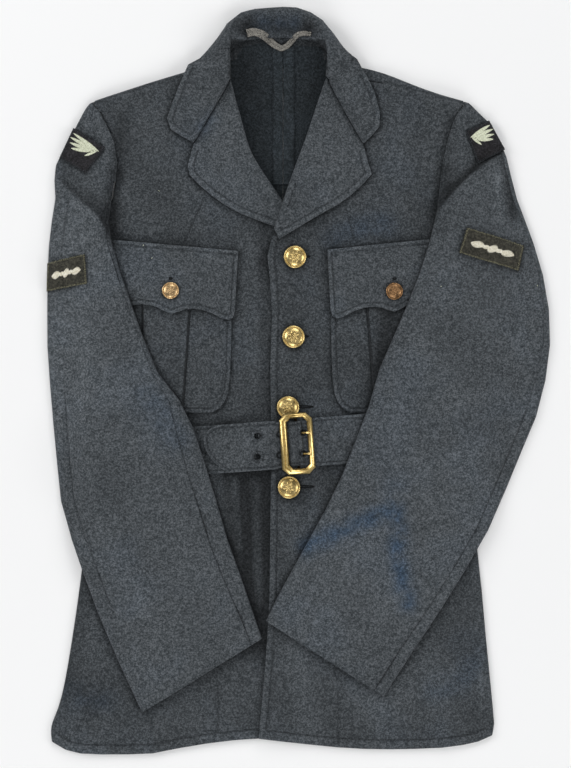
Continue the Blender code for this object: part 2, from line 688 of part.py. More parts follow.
def lapel(name, sections, look):
    """A lapel turned back over its front, from the roll line to its free edge."""
    count, columns = len(sections["roll_x"]), 6
    roll = place(sections["roll_x"], sections["roll_y"])
    tip = place(sections["tip_x"], sections["tip_y"])
    spots = np.zeros((count, columns, 2))
    radii = np.zeros(count)
    base = np.zeros(count)
    field = pile.spread(pile.height, 2)
    for i in range(count):
        run = tip[i] - roll[i]
        length = np.linalg.norm(run)
        radii[i] = min(FOLD_RADIUS, 0.35 * length)
        share = radii[i] / length + np.linspace(0, 1, columns) * (1 - radii[i] / length)
        spots[i] = roll[i] + share[:, None] * run
        base[i] = pile.sample(field, roll[i]) + REST
    flat = spots.reshape(-1, 2)
    quads = grid_quads(count, columns)
    under = pile.settle(flat, split(quads), room=0.7 * MM).reshape(count, columns)
    fade = np.clip((count - 1 - np.arange(count)) / 5, 0, 1)[:, None]
    fading = np.exp(-np.linspace(0, 3, columns))
    under = under + fade * fading * LAPEL_SWELL
    low = np.maximum(base + DOUBLE_WALL + LAYER_ROOM - under[:, 0], 0)
    under = under + low[:, None] * fading
    total = columns + 5
    outer = np.zeros((count, total, 3))
    inner = np.zeros((count, total, 3))
    outer[:, 5:] = np.concatenate([spots, (under + DOUBLE_WALL)[..., None]], axis=-1)
    inner[:, 5:] = np.concatenate([spots, under[..., None]], axis=-1)
    for i in range(count):
        inward = unit(tip[i] - roll[i])
        top = under[i, 0] + DOUBLE_WALL
        thick = min(DOUBLE_WALL, 0.8 * radii[i])
        tuck = radii[i] + 0.6 * MM
        outside, inside = turn(roll[i], inward, top, base[i], thick, radii[i], tuck)
        outer[i, :5] = outside[::-1]
        inner[i, :5] = inside[::-1]
    quads = grid_quads(count, total)
    outer, inner = outer.reshape(-1, 3), inner.reshape(-1, 3)
    pile.add(outer[:, :2], outer[:, 2], split(quads))
    return wall(name, outer, inner, quads, look)


def through(points, count):
    """Points evenly spaced by share along a smooth curve through the given ones."""
    points = np.asarray(points, float)
    last = len(points) - 1
    ahead = np.vstack([2 * points[0] - points[1], points, 2 * points[-1] - points[-2]])
    made = []
    for t in np.linspace(0, last, count):
        k = min(int(t), last - 1)
        u = t - k
        a, b, c, d = ahead[k : k + 4]
        made.append(
            0.5 * (2 * b + (c - a) * u + (2 * a - 5 * b + 4 * c - d) * u**2 + (3 * b - a - 3 * c + d) * u**3)
        )
    return np.array(made)


def collar_fall(field):
    """Marks where the fall of the collar lies on the floor, under the back."""
    behind = COLLAR["fall_z"] > 0
    low = place(COLLAR["fall_x"][behind], COLLAR["fall_y"][behind])
    high = place(COLLAR["bend_x"][behind], COLLAR["bend_y"][behind])
    spots = np.stack([low, high], axis=1)[1:-1]
    top = np.full(spots.shape[0] * 2, DOUBLE_WALL + 0.3 * MM)
    field.add(spots.reshape(-1, 2), top, split(grid_quads(len(spots), 2)))


def collar(look):
    """Stand, roll and fall in one piece round the neck."""
    count, columns = len(COLLAR["seam_x"]), 11
    laid = COLLAR["bend_z"] == 0
    over = laid | np.roll(laid, 1) | np.roll(laid, -1)
    seam = place(COLLAR["seam_x"], COLLAR["seam_y"])
    roll = place(COLLAR["roll_x"], COLLAR["roll_y"])
    bend = place(COLLAR["bend_x"], COLLAR["bend_y"])
    fall = place(COLLAR["fall_x"], COLLAR["fall_y"])
    half = DOUBLE_WALL / 2
    near = pile.spread(pile.height, 1)
    middle = np.zeros((count, columns, 3))
    for i in range(count):
        if over[i]:
            seam_z = pile.sample(near, seam[i]) + REST + half
        else:
            seam_z = pile.sample(near, seam[i] - np.array([0.0, 0.002])) - WALL / 2
        roll_z = COLLAR["roll_z"][i] * MM
        if laid[i]:
            bend_z = pile.sample(near, bend[i]) + REST + half
            fall_z = pile.sample(near, fall[i]) + REST + half
            path = [
                (*seam[i], seam_z),
                (*(0.35 * seam[i] + 0.65 * roll[i]), 0.45 * seam_z + 0.55 * (roll_z - 2 * half)),
                (*roll[i], roll_z - half),
                (*(0.8 * roll[i] + 0.2 * bend[i]), max(roll_z, bend_z + 1.0 * MM)),
                (*bend[i], bend_z + 0.6 * MM),
                (*fall[i], fall_z),
            ]
        else:
            bend_z, fall_z = COLLAR["bend_z"][i] * MM, COLLAR["fall_z"][i] * MM
            if over[i]:
                bend_z = max(bend_z, pile.sample(near, bend[i]) + 2 * REST + half)
                fall_z = max(fall_z, pile.sample(near, fall[i]) + 2 * REST + half)
            under = 0.75 * bend[i] + 0.25 * fall[i]
            path = [
                (*seam[i], seam_z),
                (*(0.4 * seam[i] + 0.6 * roll[i]), 0.4 * seam_z + 0.6 * roll_z),
                (*roll[i], roll_z),
                (*bend[i], bend_z),
                (*under, fall_z + 0.12 * (bend_z - fall_z)),
                (*fall[i], fall_z),
            ]
        middle[i] = through(path, columns)
    on_top = 6
    sheet = middle[:, on_top - 1 :]
    quads = grid_quads(count, sheet.shape[1], lambda i, j: not (over[i] and over[i + 1]))
    level = pile.settle(
        sheet[..., :2].reshape(-1, 2), split(quads), start=sheet[..., 2].ravel() - half, room=0.7 * MM
    ).reshape(count, -1)
    middle[:, on_top - 1 :, 2] = np.where(over[:, None], level + half, sheet[..., 2])
    across = np.gradient(middle, axis=1)
    along = np.gradient(middle, axis=0)
    normal = np.cross(along, across)
    normal /= np.linalg.norm(normal, axis=-1, keepdims=True)
    outer = (middle - normal * half).reshape(-1, 3)
    inner = (middle + normal * half).reshape(-1, 3)
    quads = grid_quads(count, columns)
    top = np.maximum(outer[:, 2], inner[:, 2])
    pile.add(middle.reshape(-1, 3)[:, :2], top, split(quads))
    return wall("collar", outer, inner, quads, look)


def sleeve_columns(width, radius, tuck, strip):
    """Distances across a sleeve at which both of its layers have their points."""
    return np.concatenate([
        [0, radius, tuck, tuck + SEAM], np.linspace(tuck + SEAM, width - strip - SEAM, 6)[1:],
        [width - strip, width - radius, width],
    ])


def sleeve(side, rows, look):
    """One sleeve, pressed flat: the under sleeve beneath and the top sleeve over it."""
    body = place(rows["body_x"], rows["body_y"])
    far = place(rows["far_x"], rows["far_y"])
    strip_at_far = side == "left"
    start, end = (body, far) if strip_at_far else (far, body)
    count = len(body)
    cap = np.arange(count) < ARMHOLE_ENDS
    width = np.linalg.norm(end - start, axis=1)
    run = (end - start) / width[:, None]
    start = start + run * SEAM * (cap & strip_at_far)[:, None]
    width = width - SEAM * cap
    radius = np.minimum(FOLD_RADIUS, 0.25 * width)
    thick = np.minimum(WALL, 0.7 * radius)
    tuck = np.minimum(SLEEVE_TUCK, 0.4 * width)
    strip = np.minimum(np.maximum(rows["strip"] * GRID_STEP, radius + 1.2 * MM), 0.45 * width)
    across = np.array([sleeve_columns(*sizes) for sizes in zip(width, radius, tuck, strip)])
    columns = across.shape[1]
    spots = start[:, None] + across[..., None] * run[:, None]
    flat = spots.reshape(-1, 2)
    triangles = np.array(split(grid_quads(count, columns)))
    on_body = triangles.min(axis=1) // columns + 1 >= ARMHOLE_ENDS
    soft = pile.soften(pile.spread(pile.height, 4), 3)
    begin = pile.sample(soft, flat)
    begin = (begin + REST * np.clip(begin / MM, 0, 1)).reshape(count, -1)
    begin *= np.clip((np.arange(count) - HEAD_ROWS + 1) / (ARMHOLE_ENDS - HEAD_ROWS + 1), 0, 1)[:, None]
    bed = pile.settle(flat, triangles, start=begin.ravel(), counted=on_body, room=1.0 * MM).reshape(count, -1)
    bed[:HEAD_ROWS] = 0
    swell = np.sin(np.pi * np.clip(across / width[:, None], 0, 1)) ** 0.7
    growing = np.clip(0.1 + np.arange(count) / 6, 0, 1)[:, None]
    relief = fold_relief(flat, SLEEVE_FOLDS).reshape(count, -1)
    top = bed + 2 * thick[:, None] + LAYER_ROOM + (SLEEVE_LOFT * growing + relief) * swell
    low = np.concatenate([spots, bed[..., None]], axis=-1)
    high = np.concatenate([spots, top[..., None]], axis=-1)
    up = np.array([0.0, 0.0, 1.0]) * thick[:, None, None]
    last = columns - 1
    lower = np.zeros((2, count, columns + 5, 3))
    upper = np.zeros((2, count, columns + 5, 3))
    lower[0, :, :columns], lower[1, :, :columns] = low, low + up
    upper[0, :, :columns], upper[1, :, :columns] = high[:, ::-1], high[:, ::-1] - up
    for i in range(count):
        outside, inside = turn(
            end[i] - run[i] * SEAM * (cap[i] and not strip_at_far), -run[i], top[i, -2], bed[i, -2],
            thick[i], radius[i], strip[i], bed[i, -3],
        )
        above = [high[i, -2], high[i, -3]]
        lower[0, i, columns:] = outside[2::-1] + above
        lower[1, i, columns:] = inside[2::-1] + [point - up[i, 0] for point in above]
        outside, inside = turn(
            start[i], run[i], top[i, 1], bed[i, 1], thick[i], radius[i], tuck[i], bed[i, 2]
        )
        upper[0, i, columns:] = outside
        upper[1, i, columns:] = inside

    def skip_lower(i, j):
        open_side = cap[i] and cap[i + 1]
        if j < 3:
            return not (open_side and strip_at_far)
        if open_side and not strip_at_far:
            return j >= last
        return j == last - 1

    def skip_upper(i, j):
        open_side = cap[i] and cap[i + 1]
        if j < 3:
            return not (open_side and not strip_at_far)
        if open_side and strip_at_far:
            return j >= last
        return j == last - 1

    for name, layers, skip in (
        ("under_sleeve_" + side, lower, skip_lower), ("top_sleeve_" + side, upper, skip_upper)
    ):
        panels = folded_quads(count, columns, skip, mirrored=layers is upper)
        outer, inner = layers[0].reshape(-1, 3), layers[1].reshape(-1, 3)
        pile.add(outer[:, :2], np.maximum(outer[:, 2], inner[:, 2]), split(panels))
        wall(name, outer, inner, panels, look)


def folded_quads(count, columns, skip, mirrored):
    """Quads of a sheet whose last column but one continues into the five columns of a fold."""
    total = columns + 5
    quads = []
    for i in range(count - 1):
        for j in range(total - 1):
            if skip(i, j):
                continue
            left = j - 1 if j == columns - 1 else j
            a, b = i * total + left, i * total + j + 1
            quad = (a, b, b + total, a + total)
            quads.append(quad[1:] + quad[:1] if mirrored else quad)
    return quads


def sheet_on_pile(name, spots, thick, look, rise=None, reach=3, room=REST):
    """A flat piece that lies on what is under it."""
    count, columns = spots.shape[:2]
    flat = spots.reshape(-1, 2)
    quads = grid_quads(count, columns)
    under = pile.settle(flat, split(quads), reach=reach, room=room)
    if rise is not None:
        under = under + rise.ravel()
    outer = np.column_stack([flat, under + thick])
    inner = np.column_stack([flat, under])
    pile.add(flat, under + thick, split(quads))
    return wall(name, outer, inner, quads, look)


def pocket(side, look):
    """The bag of a breast pocket with its box pleat."""
    where = POCKETS[side]
    left, right = where["bag"]
    first, second = where["pleat"]
    step = 0.9
    xs = np.array([
        left, (left + first) / 2, first - step, first, (first + second) / 2, second, second + step,
        (second + right) / 2, right,
    ])
    raised = np.array([0, 0, 0, 1, 1, 1, 0, 0, 0]) * PLEAT_RISE
    rows = []
    last = len(POCKET_ROWS["y"]) - 1
    for n, (y, inset) in enumerate(zip(POCKET_ROWS["y"], POCKET_ROWS["inset"])):
        x = xs.copy()
        x[[0, -1]] = left + inset, right - inset
        x[2:4] += where["lean"][0] * (y - 345)
        x[5:7] += where["lean"][1] * (y - 345)
        x[[1, 4, 7]] = (x[[0, 3, 6]] + x[[2, 5, 8]]) / 2
        slope = where["slope"] * (1 - n / last)
        rows.append(place(x, y + slope * (x - where["middle_x"])))
    rise = np.tile(raised, (last + 1, 1))
    return sheet_on_pile("pocket_" + side, np.array(rows), WALL, look, rise)


def flap(side, look):
    """The scalloped flap over a breast pocket."""
    where = POCKETS[side]
    out = np.concatenate([-FLAP_EDGE["out"][:0:-1], FLAP_EDGE["out"]])
    drop = np.concatenate([FLAP_EDGE["drop"][:0:-1], FLAP_EDGE["drop"]])
    rows = []
    for share in (0, 0.3, 0.6, 0.85, 1):
        x = where["middle_x"] + out * (1 + FLAP_TAPER * (1 - share))
        y = where["top_y"] + where["slope"] * (x - where["middle_x"]) + share * drop
        rows.append(place(x, y))
    return sheet_on_pile("flap_" + side, np.array(rows), DOUBLE_WALL, look)


def turned(name, profile, centre, base, look, sides=14):
    """A turned piece from rows of radius and height."""
    shape = bmesh.new()
    rings = []
    for radius, height in profile:
        if radius == 0:
            rings.append([shape.verts.new((centre[0], centre[1], base + height))])
            continue
        rings.append([
            shape.verts.new((
                centre[0] + radius * math.cos(2 * math.pi * k / sides),
                centre[1] + radius * math.sin(2 * math.pi * k / sides),
                base + height,
            ))
            for k in range(sides)
        ])
    for low, high in zip(rings, rings[1:]):
        for k in range(sides):
            n = (k + 1) % sides
            if len(low) == 1:
                shape.faces.new((low[0], high[k], high[n]))
            elif len(high) == 1:
                shape.faces.new((low[k], low[n], high[0]))
            else:
                shape.faces.new((low[k], low[n], high[n], high[k]))
    mesh = bpy.data.meshes.new(name)
    shape.to_mesh(mesh)
    shape.free()
    return finish(name, mesh, look, 35)


def button(name, diameter, x, y, look):
    """A domed metal button with a rolled rim."""
    r = diameter / 2
    centre = place(x, y)
    base = pile.highest(centre, r) + 0.4 * MM
    profile = [
        (0, 0), (0.85 * r, 0), (r, 0.15 * r), (0.95 * r, 0.25 * r), (0.82 * r, 0.22 * r),
        (0.5 * r, 0.42 * r), (0, 0.49 * r),
    ]
    angle = np.linspace(0, 2 * math.pi, 13)[:-1]
    ring = centre + r * np.stack([np.cos(angle), np.sin(angle)], axis=1)
    spots = np.vstack([ring, centre[None]])
    pile.add(spots, np.full(13, base + 0.4 * r), [(k, (k + 1) % 12, 12) for k in range(12)])
    return turned(name, profile, centre, base, look)


def belt_line(x):
    return BUCKLE_MIDDLE[1] + BELT_SLOPE * (x - BUCKLE_MIDDLE[0])


def belt_columns(half):
    """Distances from the belt's middle line, with an eyelet's width at each prong."""
    hole = EYELET / 2
    return np.array([
        -half, -PRONG_SPREAD - hole, -PRONG_SPREAD + hole, PRONG_SPREAD - hole, PRONG_SPREAD + hole, half,
    ])


def belt_rows(xs, halves):
    """Points across the belt, whose ends stand square where it turns round the body's sides."""
    xs = np.asarray(xs, float)
    middle = place(xs, belt_line(xs))
    away = np.minimum(xs - BELT_ENDS["right"], BELT_ENDS["left"] - xs)
    lean = np.clip(away / 40, 0, 1)
    across = np.stack([BELT_SLOPE * lean, np.ones(len(xs))], axis=1)
    across /= np.linalg.norm(across, axis=1, keepdims=True)
    columns = np.array([belt_columns(half) for half in halves])
    return middle[:, None] + columns[..., None] * across[:, None]


def belt_back():
    """The belt's run on the floor behind the back, which the back then lies on."""
    xs = np.linspace(BELT_ENDS["right"] + 3, BELT_ENDS["left"] - 3, 4)
    rows = belt_rows(xs, [BELT_WIDTH / 2] * len(xs))
    pile.add(rows.reshape(-1, 2), np.full(rows.size // 2, BELT_WALL), split(grid_quads(len(xs), 6)))
    return rows


def belt_turn(x, side, low, high):
    """Points round the body's side fold, from the floor to the top."""
    centre = x - side * FOLD_RADIUS / GRID_STEP
    reach = (FOLD_RADIUS + BELT_CLEAR + BELT_WALL / 2) / GRID_STEP
    made = []
    for degrees in (-54, -18, 18, 54):
        c, s = math.cos(math.radians(degrees)), math.sin(math.radians(degrees))
        level = belt_line(x) - belt_columns(BELT_WIDTH / 2) / GRID_STEP
        row = place(np.full(len(level), centre + side * reach * c), level)
        made.append(np.column_stack([row, np.full(len(row), (low + high) / 2 + (high - low) / 2 * s)]))
    return made


def belt(look, behind):
    """The whole belt as one ribbon, and the heights at the buckle that its metal parts need."""
    half, wide = BELT_WALL / 2, BELT_WIDTH / 2
    narrow = BELT_WIDTH_IN_BUCKLE / 2
    lower_x = np.array([BELT_ENDS["bar"], 284, 268, 240, 205, 170, 135, 110, 91])
    lower = belt_rows(lower_x, [narrow, narrow] + [wide] * 7)
    quads = grid_quads(len(lower_x), 6)
    low_z = pile.settle(lower.reshape(-1, 2), split(quads), reach=1).reshape(-1, 6)
    low_z[0] = low_z[0].max()
    low_z[-1] = low_z[-1].max()
    pile.add(lower.reshape(-1, 2), low_z.ravel() + BELT_WALL, split(quads))
    bar_top = bar_on_pile()
    hole = EYELET / 2 / GRID_STEP
    upper_x = np.concatenate([
        [470, 452, 425, 395, 365, 340, 318, 310, PRONG_HOLE_X + hole, PRONG_HOLE_X - hole, 290, 283],
        [274, EYELETS_X + hole, EYELETS_X - hole, 240], BELT_TIP["x"][::-1],
    ])
    widths = np.full(len(upper_x), wide)
    widths[(upper_x < 316) & (upper_x > 281)] = narrow
    upper = belt_rows(upper_x, widths)
    middle = place(upper_x, belt_line(upper_x))
    for n, (low, high) in enumerate(zip(BELT_TIP["low"] * MM, BELT_TIP["high"] * MM), 1):
        across = (upper[-n][-1] - upper[-n][0]) / (2 * wide)
        share = np.linspace(0, 1, 6)[:, None] if n == 1 else (belt_columns(wide) / (2 * wide) + 0.5)[:, None]
        upper[-n] = middle[-n] + across * (low + (high - low) * share)
    quads = grid_quads(len(upper_x), 6)
    high_z = pile.settle(upper.reshape(-1, 2), split(quads), reach=1).reshape(-1, 6)
    high_z[0] = high_z[0].max()
    stations = [np.column_stack([row, z + half]) for row, z in zip(lower, low_z)]
    stations += belt_turn(BELT_ENDS["right"], -1, half, low_z[-1].max() + half)[::-1]
    stations += [np.column_stack([row, np.full(6, half)]) for row in behind]
    stations += belt_turn(BELT_ENDS["left"], 1, half, high_z[0].max() + half)
    first_upper = len(stations)
    stations += [np.column_stack([row, z + half]) for row, z in zip(upper, high_z)]
    middle = np.array(stations)
    normal = np.cross(np.gradient(middle, axis=0), np.gradient(middle, axis=1))
    normal /= np.linalg.norm(normal, axis=-1, keepdims=True)
    outer = (middle - normal * half).reshape(-1, 3)
    inner = (middle + normal * half).reshape(-1, 3)
    holes = {
        first_upper + int(np.flatnonzero(upper_x == PRONG_HOLE_X + hole)[0]),
        first_upper + int(np.flatnonzero(upper_x == EYELETS_X + hole)[0]),
    }
    quads = grid_quads(len(stations), 6, lambda i, j: i in holes and j in (1, 3))
    pile.add(middle[..., :2].reshape(-1, 2), np.maximum(outer[:, 2], inner[:, 2]), split(quads))
    wall("belt", outer, inner, quads, look)
    return bar_top


def buckle_axes():
    """The buckle's own directions: along the belt, and across it."""
    up = np.array([-math.sin(BUCKLE_TILT), math.cos(BUCKLE_TILT)])
    return np.array([up[1], -up[0]]), up


def buckle_spots(offsets):
    along, up = buckle_axes()
    offsets = np.asarray(offsets, float)
    return place(*BUCKLE_MIDDLE) + offsets[..., :1] * along + offsets[..., 1:2] * up


def bar_on_pile():
    """Lays the centre bar on the fronts and returns the height of its top."""
    half = CENTRE_BAR / 2
    length = CENTRE_BAR_END
    corners = buckle_spots([(-half, -length), (half, -length), (half, length), (-half, length)])
    ends = [(0, 1, 2), (0, 2, 3)]
    cells, _, _ = pile.cover(corners, ends)
    top = pile.spread(pile.height, 1).ravel()[cells].max() + REST + CENTRE_BAR
    pile.add(corners, np.full(4, top), ends)
    return top


def octagon(half_x, half_y, corner, height, shift=(0, 0)):
    a, b, c = half_x, half_y, corner
    offsets = [
        (a, -b + c), (a, b - c), (a - c, b), (-a + c, b), (-a, b - c), (-a, -b + c), (-a + c, -b), (a - c, -b),
    ]
    return [(*spot, height) for spot in buckle_spots(np.array(offsets) + shift)]


def ring(name, loops, look, smooth=30):
    """A closed ring from loops of points, each joined to the next and the last to the first."""
    points = [point for loop in loops for point in loop]
    size, count = len(loops[0]), len(loops)
    faces = []
    for i in range(count):
        for k in range(size):
            n, m = (k + 1) % size, (i + 1) % count
            faces.append((i * size + k, i * size + n, m * size + n, m * size + k))
    mesh = bpy.data.meshes.new(name)
    mesh.from_pydata(points, [], faces)
    return finish(name, mesh, look, smooth)


def block(offsets, bottom, top):
    """A block under the four given corners of the buckle's own plane."""
    spots = buckle_spots(offsets)
    mesh = bpy.data.meshes.new("block")
    points = [(*spot, bottom) for spot in spots] + [(*spot, top) for spot in spots]
    sides = [(k, (k + 1) % 4, 4 + (k + 1) % 4, 4 + k) for k in range(4)]
    mesh.from_pydata(points, [], [(3, 2, 1, 0), (4, 5, 6, 7)] + sides)
    made = bpy.data.objects.new("block", mesh)
    bpy.context.scene.collection.objects.link(made)
    made.display_type = "WIRE"
    made.hide_render = True
    return made


def joined(base, extras):
    """The union of a piece with some blocks, which are then removed."""
    for extra in extras:
        change = base.modifiers.new("join", "BOOLEAN")
        change.operation = "UNION"
        change.solver = "EXACT"
        change.object = extra
    graph = bpy.context.evaluated_depsgraph_get()
    mesh = bpy.data.meshes.new_from_object(base.evaluated_get(graph))
    base.modifiers.clear()
    base.data = mesh
    for extra in extras:
        bpy.data.objects.remove(extra, do_unlink=True)
    return base


def buckle(bar_top, look):
    """The belt's two-pronged buckle: an eight-sided frame, a centre bar under the belt and the prongs."""
    wide, tall, corner = BUCKLE_WIDTH / 2, BUCKLE_HEIGHT / 2, BUCKLE_CORNER
    frame = octagon(wide, tall, corner, 0)
    corners = np.array([point[:2] for point in frame])
    strap = [(0, k, k + 1) for k in range(1, 7)]
    cells, _, _ = pile.cover(corners, strap)
    strap_top = pile.spread(pile.height, 1).ravel()[cells].max()
    base = strap_top + 0.4 * MM
    top, edge = base + BUCKLE_THICK, 1.3 * MM
    waist = base + 0.55 * BUCKLE_THICK
    bars = BUCKLE_BARS
    open_wide = wide - (bars["left"] + bars["right"]) / 2
    open_tall = tall - (bars["top"] + bars["bottom"]) / 2
    shift = ((bars["left"] - bars["right"]) / 2, (bars["bottom"] - bars["top"]) / 2)
    inner = 0.62 * corner
    made = ring("buckle_frame", [
        octagon(wide - 0.4 * MM, tall - 0.4 * MM, corner, base),
        octagon(wide, tall, corner, waist),
        octagon(wide - edge, tall - edge, corner - 0.4 * edge, top),
        octagon(open_wide + edge, open_tall + edge, inner + 0.4 * edge, top, shift),
        octagon(open_wide, open_tall, inner, waist, shift),
        octagon(open_wide + 0.4 * MM, open_tall + 0.4 * MM, inner, base, shift),
    ], look)
    half = CENTRE_BAR / 2
    low, length = bar_top - CENTRE_BAR, CENTRE_BAR_END - 0.2 * MM
    reach = BELT_WIDTH_IN_BUCKLE / 2 + 2.6 * MM
    lugs = []
    for side in (-1, 1):
        ends = sorted((side * reach, side * length))
        lug = [(-half, ends[0]), (half, ends[0]), (half, ends[1]), (-half, ends[1])]
        lugs.append(block(lug, low + 0.1 * MM, base + 0.4 * BUCKLE_THICK))
    inside = reach + 0.5 * MM
    bar_block = block([(-half, -inside), (half, -inside), (half, inside), (-half, inside)], low, bar_top)
    joined(made, lugs + [bar_block])
    pile.add(corners, np.full(8, top), strap)
    radius = PRONG / 2
    for name, offset in (("prong_upper", PRONG_SPREAD), ("prong_lower", -PRONG_SPREAD)):
        path = [
            (half + 0.5 * MM + radius, bar_top - half - 0.2 * MM), (5.3 * MM, bar_top - half - 0.2 * MM),
            (6.4 * MM, strap_top + radius + 0.3 * MM), (10.6 * MM, top + radius + 0.4 * MM),
            (12.8 * MM, top + radius + 0.3 * MM), (14.2 * MM, top + 0.8 * radius),
        ]
        rod(name, path, offset, radius, look)


def rod(name, path, offset, radius, look, sides=8):
    """A prong along a path of distances from the centre bar and heights."""
    path = np.array(path)
    spots = buckle_spots(np.column_stack([path[:, 0], np.full(len(path), offset)]))
    middle = np.column_stack([spots, path[:, 1]])
    along = np.gradient(middle, axis=0)
    along /= np.linalg.norm(along, axis=1, keepdims=True)
    side = np.append(buckle_axes()[1], 0)
    points, faces = [], []
    for n, (point, way) in enumerate(zip(middle, along)):
        up = np.cross(way, side)
        size = radius * (0.6 if n == len(path) - 1 else 1)
        for k in range(sides):
            angle = 2 * math.pi * k / sides
            points.append(tuple(point + size * (math.cos(angle) * side + math.sin(angle) * up)))
    for n in range(len(path) - 1):
        for k in range(sides):
            m = (k + 1) % sides
            faces.append((n * sides + k, n * sides + m, (n + 1) * sides + m, (n + 1) * sides + k))
    faces.append(tuple(range(sides))[::-1])
    faces.append(tuple((len(path) - 1) * sides + k for k in range(sides)))
    mesh = bpy.data.meshes.new(name)
    mesh.from_pydata(points, [], faces)
    return finish(name, mesh, look, 40)


def hanger_loop(look):
    """The loop of tape sewn inside the neck."""
    middle = place(HANGER["x"], HANGER["y"])
    along = np.gradient(middle, axis=0)
    along /= np.linalg.norm(along, axis=1, keepdims=True)
    side = np.stack([-along[:, 1], along[:, 0]], axis=1)
    half = HANGER["width"][:, None] / 2 * GRID_STEP
    rows = np.stack([middle - side * half, middle, middle + side * half], axis=1)
    sheet_on_pile("hanger_loop", rows, BADGE_WALL, look, reach=1)


def badge(name, corners, look, steps=6):
    """A cloth badge lying on a sleeve, between its four corners."""
    a, b, c, d = (place(*corner) for corner in corners)
    u, v = np.meshgrid(np.linspace(0, 1, steps), np.linspace(0, 1, steps), indexing="ij")
    u, v = u[..., None], v[..., None]
    spots = (a * (1 - u) + b * u) * (1 - v) + (d * (1 - u) + c * u) * v
    sheet_on_pile(name, spots, BADGE_WALL, look, reach=1)


def main():
    clear_scene()
    behind = belt_back()
    collar_fall(pile)
    ground = pile.height.copy()
    lay_backs(SERGE)
    front_panel("front_right", RIGHT_HALF, ground, SERGE)
    lapel("lapel_right", RIGHT_LAPEL, LIGHT_SERGE)
    front_panel("front_left", LEFT_HALF, ground, SERGE)
    lapel("lapel_left", LEFT_LAPEL, LIGHT_SERGE)
    collar(LIGHT_SERGE)
    hanger_loop(TAPE)
    for side in ("right", "left"):
        pocket(side, SERGE)
        flap(side, SERGE)
    for number, (x, y) in enumerate(zip(LARGE_BUTTONS["x"], LARGE_BUTTONS["y"]), 1):
        button("button_front_%d" % number, LARGE_BUTTON, x, y, BRASS)
    for side, x, y in zip(("right", "left"), SMALL_BUTTONS["x"], SMALL_BUTTONS["y"]):
        button("button_flap_" + side, SMALL_BUTTON, x, y, BRASS)
    bar_top = belt(SERGE, behind)
    buckle(bar_top, BRASS)
    sleeve("right", RIGHT_SLEEVE, SERGE)
    sleeve("left", LEFT_SLEEVE, SERGE)
    for name, corners in BADGES.items():
        badge(name, corners, DARK_CLOTH if name.startswith("shoulder") else BADGE_FELT)


main()
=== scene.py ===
# Belted wool service dress tunic, laid flat on its back with the sleeves folded forward.
import math
import random

import bmesh
import bpy
import numpy as np
from mathutils import Matrix, Vector
from mathutils.bvhtree import BVHTree
from mathutils.kdtree import KDTree


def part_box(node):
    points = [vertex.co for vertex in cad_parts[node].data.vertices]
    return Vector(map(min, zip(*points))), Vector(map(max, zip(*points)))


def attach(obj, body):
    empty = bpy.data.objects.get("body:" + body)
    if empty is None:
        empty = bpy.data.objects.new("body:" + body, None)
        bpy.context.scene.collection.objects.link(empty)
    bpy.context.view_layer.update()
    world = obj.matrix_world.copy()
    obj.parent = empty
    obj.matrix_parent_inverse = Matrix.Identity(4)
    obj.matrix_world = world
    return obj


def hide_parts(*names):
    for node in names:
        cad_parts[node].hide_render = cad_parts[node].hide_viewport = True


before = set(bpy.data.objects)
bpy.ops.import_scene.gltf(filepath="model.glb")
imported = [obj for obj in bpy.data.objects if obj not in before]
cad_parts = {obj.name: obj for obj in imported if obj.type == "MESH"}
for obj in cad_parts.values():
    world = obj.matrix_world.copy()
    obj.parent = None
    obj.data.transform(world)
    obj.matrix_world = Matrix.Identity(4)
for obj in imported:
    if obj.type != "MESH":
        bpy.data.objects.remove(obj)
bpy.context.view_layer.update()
dice = random.Random(7)

# Places are given on the pattern grid seen from above: x to the right, y towards the hem.
gridStep = 0.00104
gridMiddle = (298.9, 381.6)
up, down = Vector((0, 0, 1)), Vector((0, 0, -1))


def place(x, y):
    return Vector(((x - gridMiddle[0]) * gridStep, (gridMiddle[1] - y) * gridStep, 0.0))


def selectOnly(piece):
    if bpy.context.mode != "OBJECT":
        bpy.ops.object.mode_set(mode="OBJECT")
    bpy.ops.object.select_all(action="DESELECT")
    piece.select_set(True)
    bpy.context.view_layer.objects.active = piece


def applyAll(piece):
    selectOnly(piece)
    for modifier in list(piece.modifiers):
        bpy.ops.object.modifier_apply(modifier=modifier.name)


def smoothShade(piece, degrees=50):
    selectOnly(piece)
    bpy.ops.object.shade_smooth_by_angle(angle=math.radians(degrees))


def added(operator, **settings):
    # a new primitive, with nothing else selected
    bpy.ops.object.select_all(action="DESELECT")
    operator(**settings)
    return bpy.context.object


def placed(name, data):
    piece = bpy.data.objects.new(name, data)
    bpy.context.scene.collection.objects.link(piece)
    return piece


def pointsOf(piece):
    flat = np.zeros(len(piece.data.vertices) * 3)
    piece.data.vertices.foreach_get("co", flat)
    return flat.reshape(-1, 3)


def movePoints(piece, points):
    piece.data.vertices.foreach_set("co", np.ascontiguousarray(points).ravel())
    piece.data.update()


def paint(piece, key, values):
    # a value at every point, which the wool's material reads
    piece.data.attributes.new(key, "FLOAT", "POINT").data.foreach_set("value", values)


def newMesh(name, points, faces, material):
    mesh = bpy.data.meshes.new(name)
    mesh.from_pydata([tuple(p) for p in points], [], faces)
    mesh.materials.append(material)
    return placed(name, mesh)


def mergedCopy(node, name, material):
    # the solid's own mesh with its loose corners merged, left in edit mode with all of it selected
    piece = placed(name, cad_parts[node].data.copy())
    piece.data.materials.clear()
    piece.data.materials.append(material)
    selectOnly(piece)
    bpy.ops.mesh.customdata_custom_splitnormals_clear()
    bpy.ops.object.mode_set(mode="EDIT")
    bpy.ops.mesh.select_all(action="SELECT")
    bpy.ops.mesh.remove_doubles(threshold=0.00001)
    return piece


